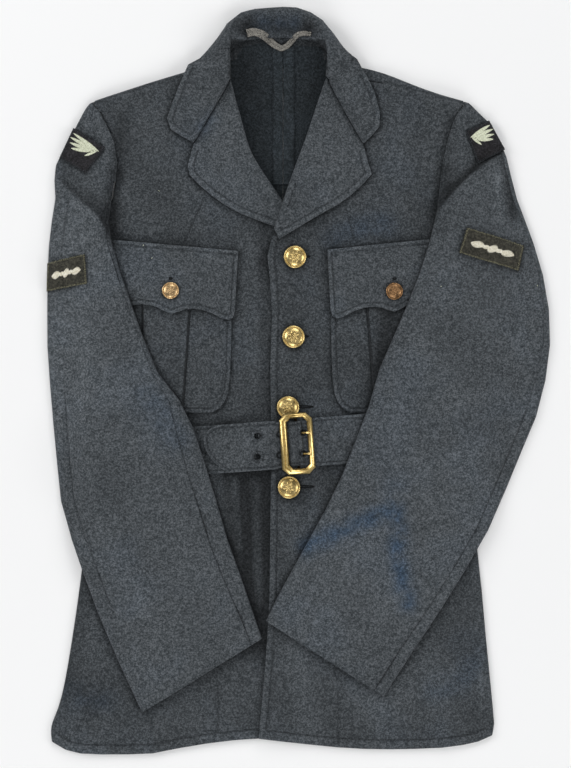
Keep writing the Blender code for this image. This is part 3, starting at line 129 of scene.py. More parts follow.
def setOut(piece, nodes=()):
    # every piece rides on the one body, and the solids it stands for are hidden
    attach(piece, "root")
    if nodes:
        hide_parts(*nodes)


def linear(hexColour):
    parts = [int(hexColour[k : k + 2], 16) / 255 for k in (1, 3, 5)]
    return tuple(c / 12.92 if c <= 0.04045 else ((c + 0.055) / 1.055) ** 2.4 for c in parts) + (1.0,)


def addNode(tree, kind, settings=None, links=None):
    node = tree.nodes.new(kind)
    for key, value in (settings or {}).items():
        if isinstance(key, int) or key in node.inputs:
            node.inputs[key].default_value = value
        else:
            setattr(node, key, value)
    for key, source in (links or {}).items():
        tree.links.new(source, node.inputs[key])
    return node


def newMaterial(name, settings):
    # settings: constant values on the shader's own sockets
    material = bpy.data.materials.new(name)
    material.use_nodes = True
    tree = material.node_tree
    shader = tree.nodes["Principled BSDF"]
    for key, value in settings.items():
        shader.inputs[key].default_value = value
    spot = tree.nodes.new("ShaderNodeTexCoord").outputs["Object"]
    return material, tree, shader, spot


def ramp(tree, source, stops):
    node = addNode(tree, "ShaderNodeValToRGB", links={"Fac": source})
    band = node.color_ramp
    while len(band.elements) < len(stops):
        band.elements.new(0.5)
    for element, (position, colour) in zip(band.elements, stops):
        element.position = position
        element.color = linear(colour) if isinstance(colour, str) else (colour, colour, colour, 1.0)
    return node.outputs["Color"]


# Felted wool serge: woven, then milled so that the nap hides most of the weave.
woolLook = {
    "clumpMm": 6.0,        # size of the tufts, flecks and single fibres that show, drawn a little coarse
    "fleckMm": 2.1,
    "fibreMm": 1.0,
    "cloudMm": 70.0,       # uneven dyeing
    "blotchMm": 16.0,      # how the run dye breaks up
    "napBumpMm": 0.4,
    "sheen": 0.18,
    "blueTint": 0.08,      # how far the bluer clouds of dye go
    "blueDye": (0.55, 0.85, 1.3, 1.0),
    "runDye": (0.5, 0.76, 1.12, 1.0),
}


def woolMaterial(name, dark, middle, light):
    # reads two values painted on each piece: painted light and painted shade (with some rubbed wear), and dye
    # (a run blue stain)
    material, tree, shader, spot = newMaterial(name, {
        "Roughness": 0.95, "Specular IOR Level": 0.15, "Sheen Weight": woolLook["sheen"],
        "Sheen Roughness": 0.5, "Sheen Tint": linear("#b4bac0"),
    })

    def noise(size, detail, rough):
        settings = {"Scale": 1000 / size, "Detail": detail, "Roughness": rough}
        return addNode(tree, "ShaderNodeTexNoise", settings, {"Vector": spot}).outputs["Fac"]

    def painted(key):
        return addNode(tree, "ShaderNodeAttribute", {"attribute_name": key}).outputs["Fac"]

    def scaled(source, share, more=None):
        links = {0: source} if more is None else {0: source, 2: more}
        settings = {"operation": "MULTIPLY_ADD", 1: share, 2: 0.0}
        return addNode(tree, "ShaderNodeMath", settings, links).outputs[0]

    def multiplied(colour, by, share=None):
        settings = {"data_type": "RGBA", "blend_type": "MULTIPLY", 0: 1.0}
        links = {6: colour} if share is None else {6: colour, 0: share}
        (settings if isinstance(by, tuple) else links)[7] = by
        return addNode(tree, "ShaderNodeMix", settings, links).outputs[2]

    grain = scaled(noise(woolLook["fibreMm"], 2.0, 0.6), 0.3)
    grain = scaled(noise(woolLook["clumpMm"], 2.0, 0.6), 0.14, grain)
    grain = scaled(noise(woolLook["fleckMm"], 3.0, 0.7), 0.56, grain)
    colour = ramp(tree, grain, [(0.39, dark), (0.49, middle), (0.59, light)])
    cloud = noise(woolLook["cloudMm"], 4.0, 0.55)
    colour = multiplied(colour, ramp(tree, cloud, [(0.3, 0.88), (0.7, 1.1)]))
    bluer = {"From Min": 0.5, "From Max": 0.66, "To Max": woolLook["blueTint"]}
    blue = addNode(tree, "ShaderNodeMapRange", bluer, {"Value": cloud})
    colour = multiplied(colour, woolLook["blueDye"], blue.outputs[0])
    blotch = ramp(tree, noise(woolLook["blotchMm"], 3.0, 0.6), [(0.34, 0.35), (0.58, 1.0)])
    dyed = addNode(tree, "ShaderNodeMath", {"operation": "MULTIPLY"}, {0: painted("dye"), 1: blotch})
    colour = multiplied(colour, woolLook["runDye"], dyed.outputs[0])
    # painted light and painted shade brighten or darken the wool's colour
    span = {"From Min": -1.4, "From Max": 1.4, "To Min": 0.3, "To Max": 1.7}
    litAndRubbed = addNode(tree, "ShaderNodeMapRange", span, {"Value": painted("paintedShadingAndWear")})
    tree.links.new(multiplied(colour, litAndRubbed.outputs[0]), shader.inputs["Base Color"])
    nap = {"Strength": 0.6, "Distance": woolLook["napBumpMm"] / 1000}
    raised = addNode(tree, "ShaderNodeBump", nap, {"Height": grain})
    tree.links.new(raised.outputs[0], shader.inputs["Normal"])
    return material


def threadMaterial(name, dark, light, roughness=0.75):
    # cotton and silk thread: fine twist, a soft gloss along each stitch
    material, tree, shader, spot = newMaterial(name, {"Roughness": roughness, "Specular IOR Level": 0.3})
    twist = addNode(tree, "ShaderNodeTexNoise", {"Scale": 900.0, "Detail": 2.0}, {"Vector": spot})
    colour = ramp(tree, twist.outputs["Fac"], [(0.35, dark), (0.65, light)])
    tree.links.new(colour, shader.inputs["Base Color"])
    return material


def brassMaterial(name, worn, bright, roughness):
    # stamped or cast brass, lacquer rubbed off: bright on the high points, brown in the corners
    material, tree, shader, spot = newMaterial(name, {"Metallic": 1.0})
    speckle = {"Scale": 260.0, "Detail": 5.0, "Roughness": 0.65}
    patina = addNode(tree, "ShaderNodeTexNoise", speckle, {"Vector": spot}).outputs["Fac"]
    sharp = addNode(tree, "ShaderNodeNewGeometry").outputs["Pointiness"]
    edge = ramp(tree, sharp, [(0.46, 0.0), (0.54, 1.0)])
    grain = ramp(tree, patina, [(0.38, 0.0), (0.62, 1.0)])
    mask = addNode(tree, "ShaderNodeMix", {"data_type": "RGBA", 0: 0.5}, {6: edge, 7: grain})
    tree.links.new(ramp(tree, mask.outputs[2], [(0.1, worn), (0.75, bright)]), shader.inputs["Base Color"])
    span = {"To Min": roughness + 0.16, "To Max": roughness - 0.05}
    rough = addNode(tree, "ShaderNodeMapRange", span, {"Value": patina})
    tree.links.new(rough.outputs[0], shader.inputs["Roughness"])
    scratch = addNode(tree, "ShaderNodeBump", {"Strength": 0.15, "Distance": 0.0002}, {"Height": patina})
    tree.links.new(scratch.outputs[0], shader.inputs["Normal"])
    return material


woolBody = woolMaterial("milledWoolSerge", "#25292c", "#3c4043", "#595d61")
# a darker copy of the wool for the inside of the neck: painted shade
shadedWoolInside = woolMaterial("milledWoolSergeInsideShaded", "#121618", "#1e2326", "#303539")
stitchThread = threadMaterial("cottonSewingThread", "#202427", "#43484d")
darkThread = threadMaterial("buttonholeTwist", "#040505", "#0f1113", 0.9)
woolPatch = woolMaterial("blackBadgeCloth", "#161617", "#252426", "#38373a")
badgeFelt = woolMaterial("oliveBadgeFelt", "#1f1f1b", "#34332d", "#4c4a41")
paleThread = threadMaterial("silkBadgeThread", "#c3c7ac", "#e9ecd8", 0.5)
creamThread = threadMaterial("creamBadgeThread", "#cfc8b0", "#f3efe2", 0.5)
frayThread = threadMaterial("oliveEdgeThread", "#5c5a48", "#9a977c")
tapeCotton = threadMaterial("twistedCottonTape", "#4d4b48", "#8b8881", 0.85)
buttonBrass = brassMaterial("stampedButtonBrass", "#4f3814", "#e2c888", 0.28)
wornBrass = brassMaterial("wornButtonBrass", "#4b3620", "#d8b88a", 0.32)
darkBrass = brassMaterial("tarnishedButtonBrass", "#241a12", "#a07c58", 0.38)
buckleBrass = brassMaterial("castBuckleBrass", "#8a6a2c", "#ecd08c", 0.27)
# darker brass for the ridge of the buckle frame: painted shade between its facets
shadedRidgeBrass = brassMaterial("shadedBuckleRidgeBrass", "#5a4218", "#c7a35c", 0.36)
# dark brass for the bar inside the buckle's opening: painted shade
shadedBarBrass = brassMaterial("darkBrass", "#17130e", "#32281a", 0.55)
print("materials made")


# Cloth pieces: each is its solid's own form, rounded, with listed creases laid in.
# flat: width and length in metres. area: what shows of it on one face. tone: painted lighter (+) or darker
# (-) over the whole piece, as painted light and shade.
sheets = {
    "back_left": {"flat": (0.235, 0.75), "area": 0.139, "rests": []},
    "back_right": {"flat": (0.245, 0.755), "area": 0.144, "rests": []},
    "front_right": {"tone": -0.18, "flat": (0.27, 0.72), "area": 0.152, "rests": ["back_right"]},
    "lapel_right": {"tone": 0.25, "flat": (0.115, 0.16), "area": 0.0086, "rests": ["front_right"]},
    "front_left": {
        "tone": -0.24, "flat": (0.26, 0.715), "area": 0.149, "rests": ["back_left", "front_right"],
    },
    "lapel_left": {"tone": 0.25, "flat": (0.11, 0.17), "area": 0.009, "rests": ["front_left"]},
    "collar": {"tone": 0.15, "flat": (0.42, 0.055), "area": 0.0202, "rests": ["front_left", "front_right"]},
    "pocket_right": {"tone": -0.12, "flat": (0.13, 0.17), "area": 0.0214, "rests": ["front_right"]},
    "pocket_left": {"tone": -0.3, "flat": (0.134, 0.17), "area": 0.0222, "rests": ["front_left"]},
    "flap_right": {"tone": 0.2, "flat": (0.141, 0.075), "area": 0.0099, "rests": ["pocket_right"]},
    "flap_left": {"tone": 0.2, "flat": (0.141, 0.075), "area": 0.0099, "rests": ["pocket_left"]},
    "belt": {"tone": 0.2, "flat": (1.0, 0.05), "area": 0.049, "rests": ["front_left", "front_right"]},
    "under_sleeve_right": {"tone": 0.2, "flat": (0.15, 0.62), "area": 0.0664, "rests": ["front_right"]},
    "top_sleeve_right": {"tone": 0.35, "flat": (0.17, 0.63), "area": 0.0747, "rests": ["under_sleeve_right"]},
    "under_sleeve_left": {"tone": 0.3, "flat": (0.18, 0.64), "area": 0.0831, "rests": ["front_left"]},
    "top_sleeve_left": {"tone": 0.3, "flat": (0.185, 0.64), "area": 0.0861, "rests": ["under_sleeve_left"]},
    "shoulder_patch_right": {"flat": (0.037, 0.036), "area": 0.0012, "rests": ["top_sleeve_right"]},
    "shoulder_patch_left": {"flat": (0.034, 0.033), "area": 0.00105, "rests": ["top_sleeve_left"]},
    "sleeve_badge_right": {"flat": (0.044, 0.031), "area": 0.0013, "rests": ["top_sleeve_right"]},
    "sleeve_badge_left": {"flat": (0.064, 0.028), "area": 0.0017, "rests": ["top_sleeve_left"]},
}
pieceMaterials = {
    "shoulder_patch_right": woolPatch, "shoulder_patch_left": woolPatch,
    "sleeve_badge_right": badgeFelt, "sleeve_badge_left": badgeFelt,
}
# The order in which they are laid; pieces of one group don't lie on each other.
laying = (
    ["back_left", "back_right"], ["front_right"], ["lapel_right"], ["front_left"], ["lapel_left"], ["collar"],
    ["pocket_right", "pocket_left"], ["flap_right", "flap_left"], ["belt"],
    ["under_sleeve_right", "top_sleeve_right"], ["under_sleeve_left", "top_sleeve_left"],
    ["shoulder_patch_right", "shoulder_patch_left", "sleeve_badge_right", "sleeve_badge_left"],
)
# Free edges that carry a row of stitches: a box on the grid, and how far in the row lies, in mm.
stitched = {
    "front_left": [(250, 236, 286, 730, 6.8), (250, 730, 500, 760, 9.5)],
    "front_right": [(40, 730, 292, 760, 9.5)],
    "lapel_left": [(275, 149, 378, 248, 6.0)],
    "lapel_right": [(184, 149, 297, 235, 6.0)],
    "collar": [(160, 62, 191, 142, 5.6), (364, 62, 386, 142, 5.6)],
    "pocket_right": [(100, 318, 234, 420, 4.6)],
    "pocket_left": [(328, 318, 460, 420, 4.6)],
    "flap_right": [(90, 225, 245, 325, 4.4)],
    "flap_left": [(320, 225, 465, 325, 4.4)],
    "belt": [(198, 400, 480, 485, 3.2)],
}
# Sewn lines inside a piece: dart, pocket bag and vent stitching that shows through.
sewnLines = {
    "front_left": [[(338, 692), (338, 745)], [(345, 205), (350, 222), (354, 240)]],
    "front_right": [[(218, 684), (218, 731)], [(204, 731), (218, 731)], [(203, 200), (193, 222), (184, 243)]],
    "pocket_right": [[(189.7, 308), (183.3, 404)], [(142.9, 308), (142.9, 404)]],
    "pocket_left": [[(366.9, 306), (374.6, 404)], [(417.7, 306), (417.7, 404)]],
}

# Seams whose edge is drawn up to the next piece: line, reach and shift in metres.
closings = {
    "top_sleeve_right": [([(112.5, 135), (113.5, 190), (108, 226)], 0.007, (0.0014, 0.0))],
    "top_sleeve_left": [([(456, 122), (442, 170), (440, 200)], 0.007, (-0.0014, 0.0))],
    "collar": [
        ([(228, 84), (197, 137)], 0.004, (0.0007, -0.0004)),
        ([(329, 84), (362, 140)], 0.004, (-0.0007, -0.0004)),
    ],
}

# Seams that lie so flat that no painted shade is laid along them.
flatSeams = [
    [(93.5, 104), (113.5, 140), (113.5, 190), (108, 226)],
    [(465, 103), (450, 135), (442, 170), (440, 197), (436, 226)],
]

# Soft ridges (+) and troughs (-): from x, y to x, y, half width in grid steps, height in mm.
creases = [
    (96, 150, 150, 232, 9, 1.8), (110, 128, 176, 205, 8, -1.2), (84, 120, 108, 186, 7, -1.6),
    (60, 200, 56, 300, 7, 1.2), (66, 300, 72, 420, 8, -1.3), (90, 330, 78, 430, 9, 1.6),
    (150, 372, 96, 402, 8, 1.7), (176, 404, 100, 424, 7, -1.9), (186, 430, 108, 452, 9, 1.5),
    (112, 470, 140, 560, 10, -1.4), (160, 470, 196, 560, 9, 1.4), (126, 560, 168, 650, 9, 1.6),
    (190, 590, 214, 650, 8, -1.1), (100, 240, 120, 330, 7, 1.0), (132, 330, 168, 420, 6, 1.1),
    (500, 172, 507, 262, 6, 1.8), (488, 180, 492, 240, 6, -1.2), (470, 250, 452, 330, 9, -1.3),
    (520, 262, 528, 350, 8, 1.3), (440, 300, 500, 322, 8, 1.5), (425, 330, 480, 350, 7, -1.5),
    (500, 386, 420, 418, 8, 1.8), (512, 420, 440, 446, 7, -1.6), (480, 446, 400, 482, 9, 1.5),
    (440, 500, 400, 570, 9, -1.3), (404, 480, 352, 556, 9, 1.4), (360, 560, 320, 620, 8, 1.2),
    (420, 540, 376, 620, 8, 1.3), (300, 580, 330, 640, 7, -1.0), (436, 112, 430, 200, 8, 1.5),
    (424, 112, 404, 200, 8, -1.0), (400, 108, 388, 170, 9, 1.3), (160, 100, 150, 190, 9, 1.3),
    (246, 256, 240, 330, 6, 1.4), (252, 330, 246, 410, 6, -0.9), (256, 262, 252, 400, 5, 1.5),
    (304, 262, 300, 400, 6, 0.9), (222, 476, 238, 575, 6, 3.0), (238, 482, 246, 560, 4, -1.5),
    (252, 480, 258, 600, 5, 2.4), (206, 470, 222, 530, 6, 1.8), (292, 500, 298, 620, 8, 1.6),
    (318, 470, 310, 560, 7, 1.8), (300, 640, 312, 738, 10, 2.0), (340, 640, 352, 742, 9, -1.0),
    (372, 700, 384, 746, 9, 1.7), (430, 640, 446, 742, 10, 1.7), (462, 600, 474, 738, 8, -1.0),
    (476, 570, 486, 700, 6, 1.4), (200, 700, 190, 744, 10, 1.6), (236, 640, 228, 738, 9, 1.3),
    (110, 690, 100, 750, 9, 1.7), (84, 640, 70, 738, 7, 1.4), (98, 600, 88, 700, 7, 1.2),
    (140, 716, 150, 750, 9, 1.4), (254, 600, 250, 700, 6, 1.3), (345, 110, 336, 190, 7, 1.0),
    (205, 108, 214, 180, 7, 1.0), (352, 258, 346, 306, 6, 0.8), (216, 250, 220, 300, 6, 0.8),
    (132, 250, 130, 296, 7, 0.8), (420, 250, 424, 296, 7, 0.8), (225, 440, 280, 436, 9, 0.8),
    (330, 436, 372, 434, 8, 0.9), (268, 20, 262, 36, 5, 0.9), (300, 18, 304, 36, 5, 0.9),
    (316, 30, 322, 44, 4, 0.8), (240, 28, 236, 44, 4, 0.8),
]
# Deep folds where each sleeve turns forward: the line of the fold, whose raised side is to its left, and
# its height in mm. fold: widths in grid steps, and shares of the height and of the tone, which is painted
# light on the raised side and painted shade in the hollow.
fold = {"edge": 0.7, "raisedHalf": 13, "sunkHalf": 11, "hollow": 0.3, "litAndRubbed": 0.25, "shaded": 1.5}
laps = [
    ([(114, 246), (107, 229), (99, 217), (90, 208), (77, 197), (64, 185), (53, 175)], 3.0),
    ([(509, 149), (482, 165), (470, 175), (455, 190), (441, 205), (433, 226)], 3.2),
]
# Painted light (+) or painted shade (-), with one dark bar tack, on the pieces whose names start so: along a
# line from x, y to x, y, half width in grid steps, amount.
tones = {
    "front_right": [
        (250, 476, 256, 640, 24, -1.05), (225, 476, 234, 560, 5, -0.8), (244, 476, 250, 610, 4.5, -0.7),
        (266, 476, 268, 640, 5, -0.5), (235, 480, 241, 550, 3, 0.5), (257, 486, 260, 600, 3, 0.35),
        (263, 224, 264, 262, 7, -0.6), (262, 262, 266, 410, 6, -0.4), (120, 240, 230, 236, 8, -0.2),
        (90, 690, 130, 720, 34, -0.15), (70, 600, 70, 690, 14, -0.3), (196, 412, 184, 430, 10, -0.4),
    ],
    "collar": [
        (238, 25, 250, 35, 8, -0.8), (252, 28, 306, 28, 11, -1.1), (308, 28, 316, 34, 6, -0.7),
        (250, 18, 246, 36, 4, -0.5),
    ],
    "back": [(246, 60, 262, 140, 14, -0.5), (322, 60, 308, 120, 9, -0.3)],
    "": [
        (88, 194, 106, 212, 8, -0.5), (122, 118, 116, 172, 9, -0.65), (113, 176, 109, 234, 10, -1.0),
        (453, 120, 447, 165, 7, -0.45), (446, 172, 440, 230, 8, -0.7), (442, 197, 482, 162, 5, -0.5),
        (219, 252.5, 244, 256, 0.8, -0.9),
    ],
    "front_left": [
        (404, 130, 398, 200, 12, 0.25), (360, 696, 470, 686, 24, 0.55), (300, 640, 310, 735, 20, 0.35),
        (300, 262, 296, 470, 9, -0.2), (330, 468, 300, 500, 10, -0.3),
    ],
    "top": [
        (507, 166, 513, 214, 6.5, -1.35), (498, 170, 497, 206, 4, 0.6), (80, 150, 62, 168, 9, -0.3),
        (478, 168, 500, 156, 7, -0.5), (74, 260, 70, 400, 32, 0.6), (470, 250, 420, 360, 20, 0.1),
        (450, 480, 380, 600, 46, 0.22), (340, 520, 310, 610, 24, 0.2),
    ],
    "belt": [(299, 428, 303, 462, 8, 0.9)],
    "pocket_right": [
        (189.9, 306, 183.5, 404, 1.3, -1.1), (142.7, 306, 142.7, 404, 1.3, -1.1),
        (186.4, 310, 181, 404, 2.2, 0.2), (180, 310, 176, 400, 8, -0.3),
    ],
    "pocket_left": [
        (366.7, 304, 374.4, 404, 1.3, -1.1), (341, 300, 338, 400, 11, 0.1), (388, 300, 374, 400, 10, -0.85),
    ],
    "flap": [(196, 253, 218, 255, 2.5, 0.2), (196, 244, 222, 250, 10, 0.15)],
    "top_sleeve_right": [(84, 190, 70, 250, 16, 0.25)],
}
# Blue dye that has run: the line, half width in grid steps, amount.
dyeStains = [
    ([(306, 545), (330, 536), (352, 526), (372, 517), (394, 508)], 10, 0.8),
    ([(394, 508), (399, 530), (396, 551), (401, 575), (407, 602)], 9, 0.85),
    ([(335, 238), (352, 230), (382, 226)], 14, 0.4), ([(68, 690), (80, 700), (106, 700)], 12, 0.3),
    ([(438, 690), (466, 680), (474, 660)], 14, 0.3), ([(388, 500), (396, 486)], 12, 0.25),
    ([(262, 24), (292, 24)], 9, 0.5), ([(212, 116), (204, 128)], 8, 0.3), ([(150, 392), (178, 440)], 14, 0.3),
]
# The cloth's own unevenness: direction, waves to the metre, start.
waves = [(dice.uniform(0, 6.28), dice.uniform(9, 30), dice.uniform(0, 6.28)) for _ in range(14)]
# toneOfHeight: painted light on the rises and painted shade in the dips
unevenness = {"height": 0.00016, "pitch": 5, "toneOfHeight": 140}


def bell(away, reach):
    # 1 on a line, fading out a few reaches away from it
    return np.exp(-((away / reach) ** 2))


def nearLine(points, line):
    # signed distance from a line on the grid, positive to its left, and the share of the way along it
    x, y = points[:, 0], points[:, 1]
    away = np.full_like(x, 9.0)
    signed, share = np.zeros_like(x), np.zeros_like(x)
    for k, (p, q) in enumerate(zip(line, line[1:])):
        a, run = place(*p), place(*q) - place(*p)
        along = np.clip(((x - a.x) * run.x + (y - a.y) * run.y) / run.length_squared, 0, 1)
        dx, dy = x - a.x - along * run.x, y - a.y - along * run.y
        reach = np.hypot(dx, dy)
        closer = reach < away
        signed = np.where(closer, np.where(run.x * dy - run.y * dx > 0, reach, -reach), signed)
        share = np.where(closer, (k + along) / (len(line) - 1), share)
        away = np.minimum(away, reach)
    return signed, share


def creaseHeight(points):
    # height of the creases and of the cloth's own slight unevenness in metres, and the painted light and
    # shade they give: rises lighter, hollows darker
    height = np.zeros(len(points))
    for x0, y0, x1, y1, half, rise in creases:
        signed, share = nearLine(points, [(x0, y0), (x1, y1)])
        ends = np.sin(np.pi * (0.12 + 0.76 * share))            # a crease runs out at both ends
        height += 0.001 * rise * ends * bell(signed, half * gridStep)
    for direction, count, start in waves:
        onward = points[:, 0] * math.cos(direction) + points[:, 1] * math.sin(direction)
        height += unevenness["height"] * np.sin(onward * count * unevenness["pitch"] + start)
    tone = height * unevenness["toneOfHeight"]
    for line, rise in laps:
        signed, share = nearLine(points, line)
        step = signed / gridStep
        fade = np.clip(1.5 * np.sin(np.pi * (0.06 + 0.88 * share)), 0, 1)
        over = 1 / (1 + np.exp(-np.clip(step, -20, 20) / fold["edge"]))
        raised = over * np.exp(-np.maximum(step, 0) / fold["raisedHalf"])
        sunk = (1 - over) * np.exp(np.minimum(step, 0) / fold["sunkHalf"])
        height += 0.001 * rise * fade * (raised - fold["hollow"] * sunk)
        tone += fade * (fold["litAndRubbed"] * raised - fold["shaded"] * sunk)
    return height, tone


def paintedTone(name, points):
    tone = np.zeros(len(points))
    for pieces, lines in tones.items():
        if name.startswith(pieces):
            for x0, y0, x1, y1, half, amount in lines:
                tone += amount * bell(nearLine(points, [(x0, y0), (x1, y1)])[0], half * gridStep)
    return tone


def paintedDye(points):
    dye = np.zeros(len(points))
    for line, half, amount in dyeStains:
        dye = np.maximum(dye, amount * bell(nearLine(points, line)[0], half * gridStep))
    return dye


# Heights of what is laid so far, on a square lattice.
cell = 0.002
latticeLow = np.array([-0.31, -0.43])
laid = np.zeros((311, 431))
resting = {"clear": 0.0003, "deepest": 0.0017, "above": 0.0024, "underside": 0.0018, "fade": 0.002}
creased = {"from": 0.002, "over": 0.005}        # creases come in only above the flat underside


def cellsOf(points):
    found = np.floor((points[:, :2] - latticeLow) / cell).astype(int)
    return np.clip(found[:, 0], 0, laid.shape[0] - 1), np.clip(found[:, 1], 0, laid.shape[1] - 1)


def widest(field, steps):
    for axis in (0, 1):
        best = field.copy()
        for shift in range(1, steps + 1):
            best = np.maximum(best, np.maximum(np.roll(field, shift, axis), np.roll(field, -shift, axis)))
        field = best
    return field


def blurred(field, steps):
    for axis in (0, 1, 0, 1):
        total = field.copy()
        for shift in range(1, steps + 1):
            total = total + np.roll(field, shift, axis) + np.roll(field, -shift, axis)
        field = total / (2 * steps + 1)
    return field


def settle(names):
    # lifts pieces that rounding let sink into the ones below, then adds them to the heights
    fields = []
    for name in names:
        points = pointsOf(cloth[name])
        for _ in range(3):
            i, j = cellsOf(points)
            short = laid[i, j] + resting["clear"] - points[:, 2]
            sunk = (short > 0) & (short < resting["deepest"]) & (laid[i, j] > 0)
            sunk &= points[:, 2] > resting["above"]
            if not sunk.any():
                break
            lift = np.zeros_like(laid)
            np.maximum.at(lift, (i[sunk], j[sunk]), short[sunk])
            lift = blurred(widest(lift, 3), 2)
            free = np.clip((points[:, 2] - resting["underside"]) / resting["fade"], 0, 1)
            points[:, 2] += lift[i, j] * free
        movePoints(cloth[name], points)
        i, j = cellsOf(points)
        field = np.zeros_like(laid)
        np.maximum.at(field, (i, j), points[:, 2])
        fields.append(np.where(field == 0, widest(field, 2 if name in plain else 1) * 0.999, field))
    for field in fields:
        laid[:] = np.maximum(laid, field)


def treeOver(piece):
    shape = bmesh.new()
    shape.from_mesh(piece.data)
    tree = BVHTree.FromBMesh(shape)
    shape.free()
    return tree


def covered(tree, spot, clear):
    # whether something of the same piece lies above a place
    return tree.ray_cast(spot + up * clear, up)[0] is not None


def refine(piece, middles, chosen, cuts):
    # cuts finer those of the chosen faces that nothing of their own piece covers
    tree = treeOver(piece)
    for n in np.flatnonzero(chosen):
        chosen[n] = not covered(tree, Vector(middles[n]), 0.0006)
    mesh = piece.data
    selectOnly(piece)
    mesh.vertices.foreach_set("select", np.zeros(len(mesh.vertices), bool))
    mesh.edges.foreach_set("select", np.zeros(len(mesh.edges), bool))
    mesh.polygons.foreach_set("select", chosen)
    bpy.context.tool_settings.mesh_select_mode = (False, False, True)
    bpy.ops.object.mode_set(mode="EDIT")
    bpy.ops.mesh.subdivide(number_cuts=cuts)
    bpy.ops.object.mode_set(mode="OBJECT")


def faceValues(piece):
    middles, normals = np.zeros(len(piece.data.polygons) * 3), np.zeros(len(piece.data.polygons) * 3)
    piece.data.polygons.foreach_get("center", middles)
    piece.data.polygons.foreach_get("normal", normals)
    return middles.reshape(-1, 3), normals.reshape(-1, 3)


def rimsOf(piece):
    # the free edges that show from above: both ends, and the way into the cloth
    tree = treeOver(piece)
    shape = bmesh.new()
    shape.from_mesh(piece.data)
    rims = []
    for edge in shape.edges:
        upper, other = sorted(edge.link_faces, key=lambda face: -face.normal.z)
        if upper.normal.z < 0.35 or other.normal.z > 0.3 or edge.calc_face_angle() < math.radians(50):
            continue
        a, b = edge.verts[0].co.copy(), edge.verts[1].co.copy()
        middle = (a + b) / 2
        if covered(tree, middle, 0.0007):
            continue
        way = (b - a).normalized()
        inward = upper.calc_center_median() - middle
        rims.append((a, b, (inward - way * inward.dot(way)).normalized()))
    shape.free()
    return rims


def insetAt(name, spot):
    # how far in from this edge its row of stitches lies, or 0 where it carries none
    x, y = spot.x / gridStep + gridMiddle[0], gridMiddle[1] - spot.y / gridStep
    for x0, y0, x1, y1, inset in stitched.get(name, []):
        if x0 <= x <= x1 and y0 <= y <= y1:
            return inset / 1000
    return 0.0


def chained(rims):
    # joins rim edges end to end
    def corner(spot):
        return tuple(round(c, 6) for c in spot)

    ends = {}
    for n, (a, b, _) in enumerate(rims):
        for spot in (a, b):
            ends.setdefault(corner(spot), []).append(n)
    used, chains = set(), []
    for first in sorted(range(len(rims)), key=lambda n: min(len(ends[corner(p)]) for p in rims[n][:2])):
        if first in used:
            continue
        a, b, inward = rims[first]
        if len(ends[corner(b)]) == 1:
            a, b = b, a
        chain, at, current = [(a, inward)], b, first
        while True:
            used.add(current)
            chain.append((at, rims[current][2]))
            following = [n for n in ends[corner(at)] if n not in used]
            if not following:
                break
            current = following[0]
            at = rims[current][1] if (rims[current][0] - at).length < 1e-6 else rims[current][0]
        chains.append(chain)
    return chains


def alongChain(chain, pitch):
    # places, directions and ways into the cloth every pitch along a chain
    made, left = [], pitch / 2
    for (a, _), (b, inward) in zip(chain, chain[1:]):
        run = b - a
        while left <= run.length:
            made.append((a + run * (left / run.length), run.normalized(), inward))
            left += pitch
        left -= run.length
    return made


def treeOf(spots):
    tree = KDTree(max(len(spots), 1))
    for k, spot in enumerate(spots):
        tree.insert(spot, k)
    tree.balance()
    return tree


# Lengths in metres; middle, from and top are places on the grid.
groove = {
    "depth": 0.0006, "half": 0.00095, "welt": 0.00035, "roll": 0.00045, "rollHalf": 0.0009, "reach": 0.013,
    "edgeHalf": 0.0011, "sewnDepth": 0.00048,
    # the tones: painted shade in rows of stitches, sewn lines and plain edges, painted light on the welts
    "rowTone": -0.95, "weltTone": 0.25, "sewnTone": -0.7, "edgeTone": -0.3,
}
finer = {"edge": 0.0022, "row": 0.0028, "seam": 0.003, "fold": 0.005}
neck = {"middle": 278.5, "half": 0.0525, "from": 40.0, "height": 0.0135, "fade": 0.003, "shade": 1.2}
innerFace = {"middle": 280, "half": 0.062, "top": 36}
plain = ("back_left", "back_right")             # out of sight but for the inside of the neck
cloth, rows, paintedShadingAndWear = {}, {}, {}


def roundedCloth(name):
    piece = mergedCopy(name, name + "_cloth", pieceMaterials.get(name, woolBody))
    piece.data.name = piece.name
    bpy.ops.mesh.tris_convert_to_quads(face_threshold=math.radians(60), shape_threshold=math.radians(75))
    bpy.ops.mesh.select_all(action="DESELECT")
    bpy.ops.mesh.edges_select_sharp(sharpness=math.radians(50))
    bpy.ops.transform.edge_crease(value=1.0)
    bpy.ops.object.mode_set(mode="OBJECT")
    rounding = piece.modifiers.new("rounding", "SUBSURF")
    rounding.levels = rounding.render_levels = 2
    applyAll(piece)
    return piece


def cutFiner(piece, name, samples, edgeTree):
    # edges, rows of stitches, sewn lines and deep folds get finer faces of their own
    middles, normals = faceValues(piece)
    facing = normals[:, 2] > 0.3
    chosen = np.zeros(len(middles), bool)
    for n in np.flatnonzero(facing):
        _, k, away = edgeTree.find(Vector(middles[n]))
        if k is not None:
            inset = samples[k][2]
            chosen[n] = away < finer["edge"] or (inset and abs(away - inset) < finer["row"])
    lines = [(line, finer["seam"]) for line in sewnLines.get(name, [])]
    for line, reach in lines + [(line, finer["fold"]) for line, _ in laps]:
        chosen |= (np.abs(nearLine(middles, line)[0]) < reach) & facing
    refine(piece, middles, chosen, 2 if "front" in name or "sleeve" in name else 1)


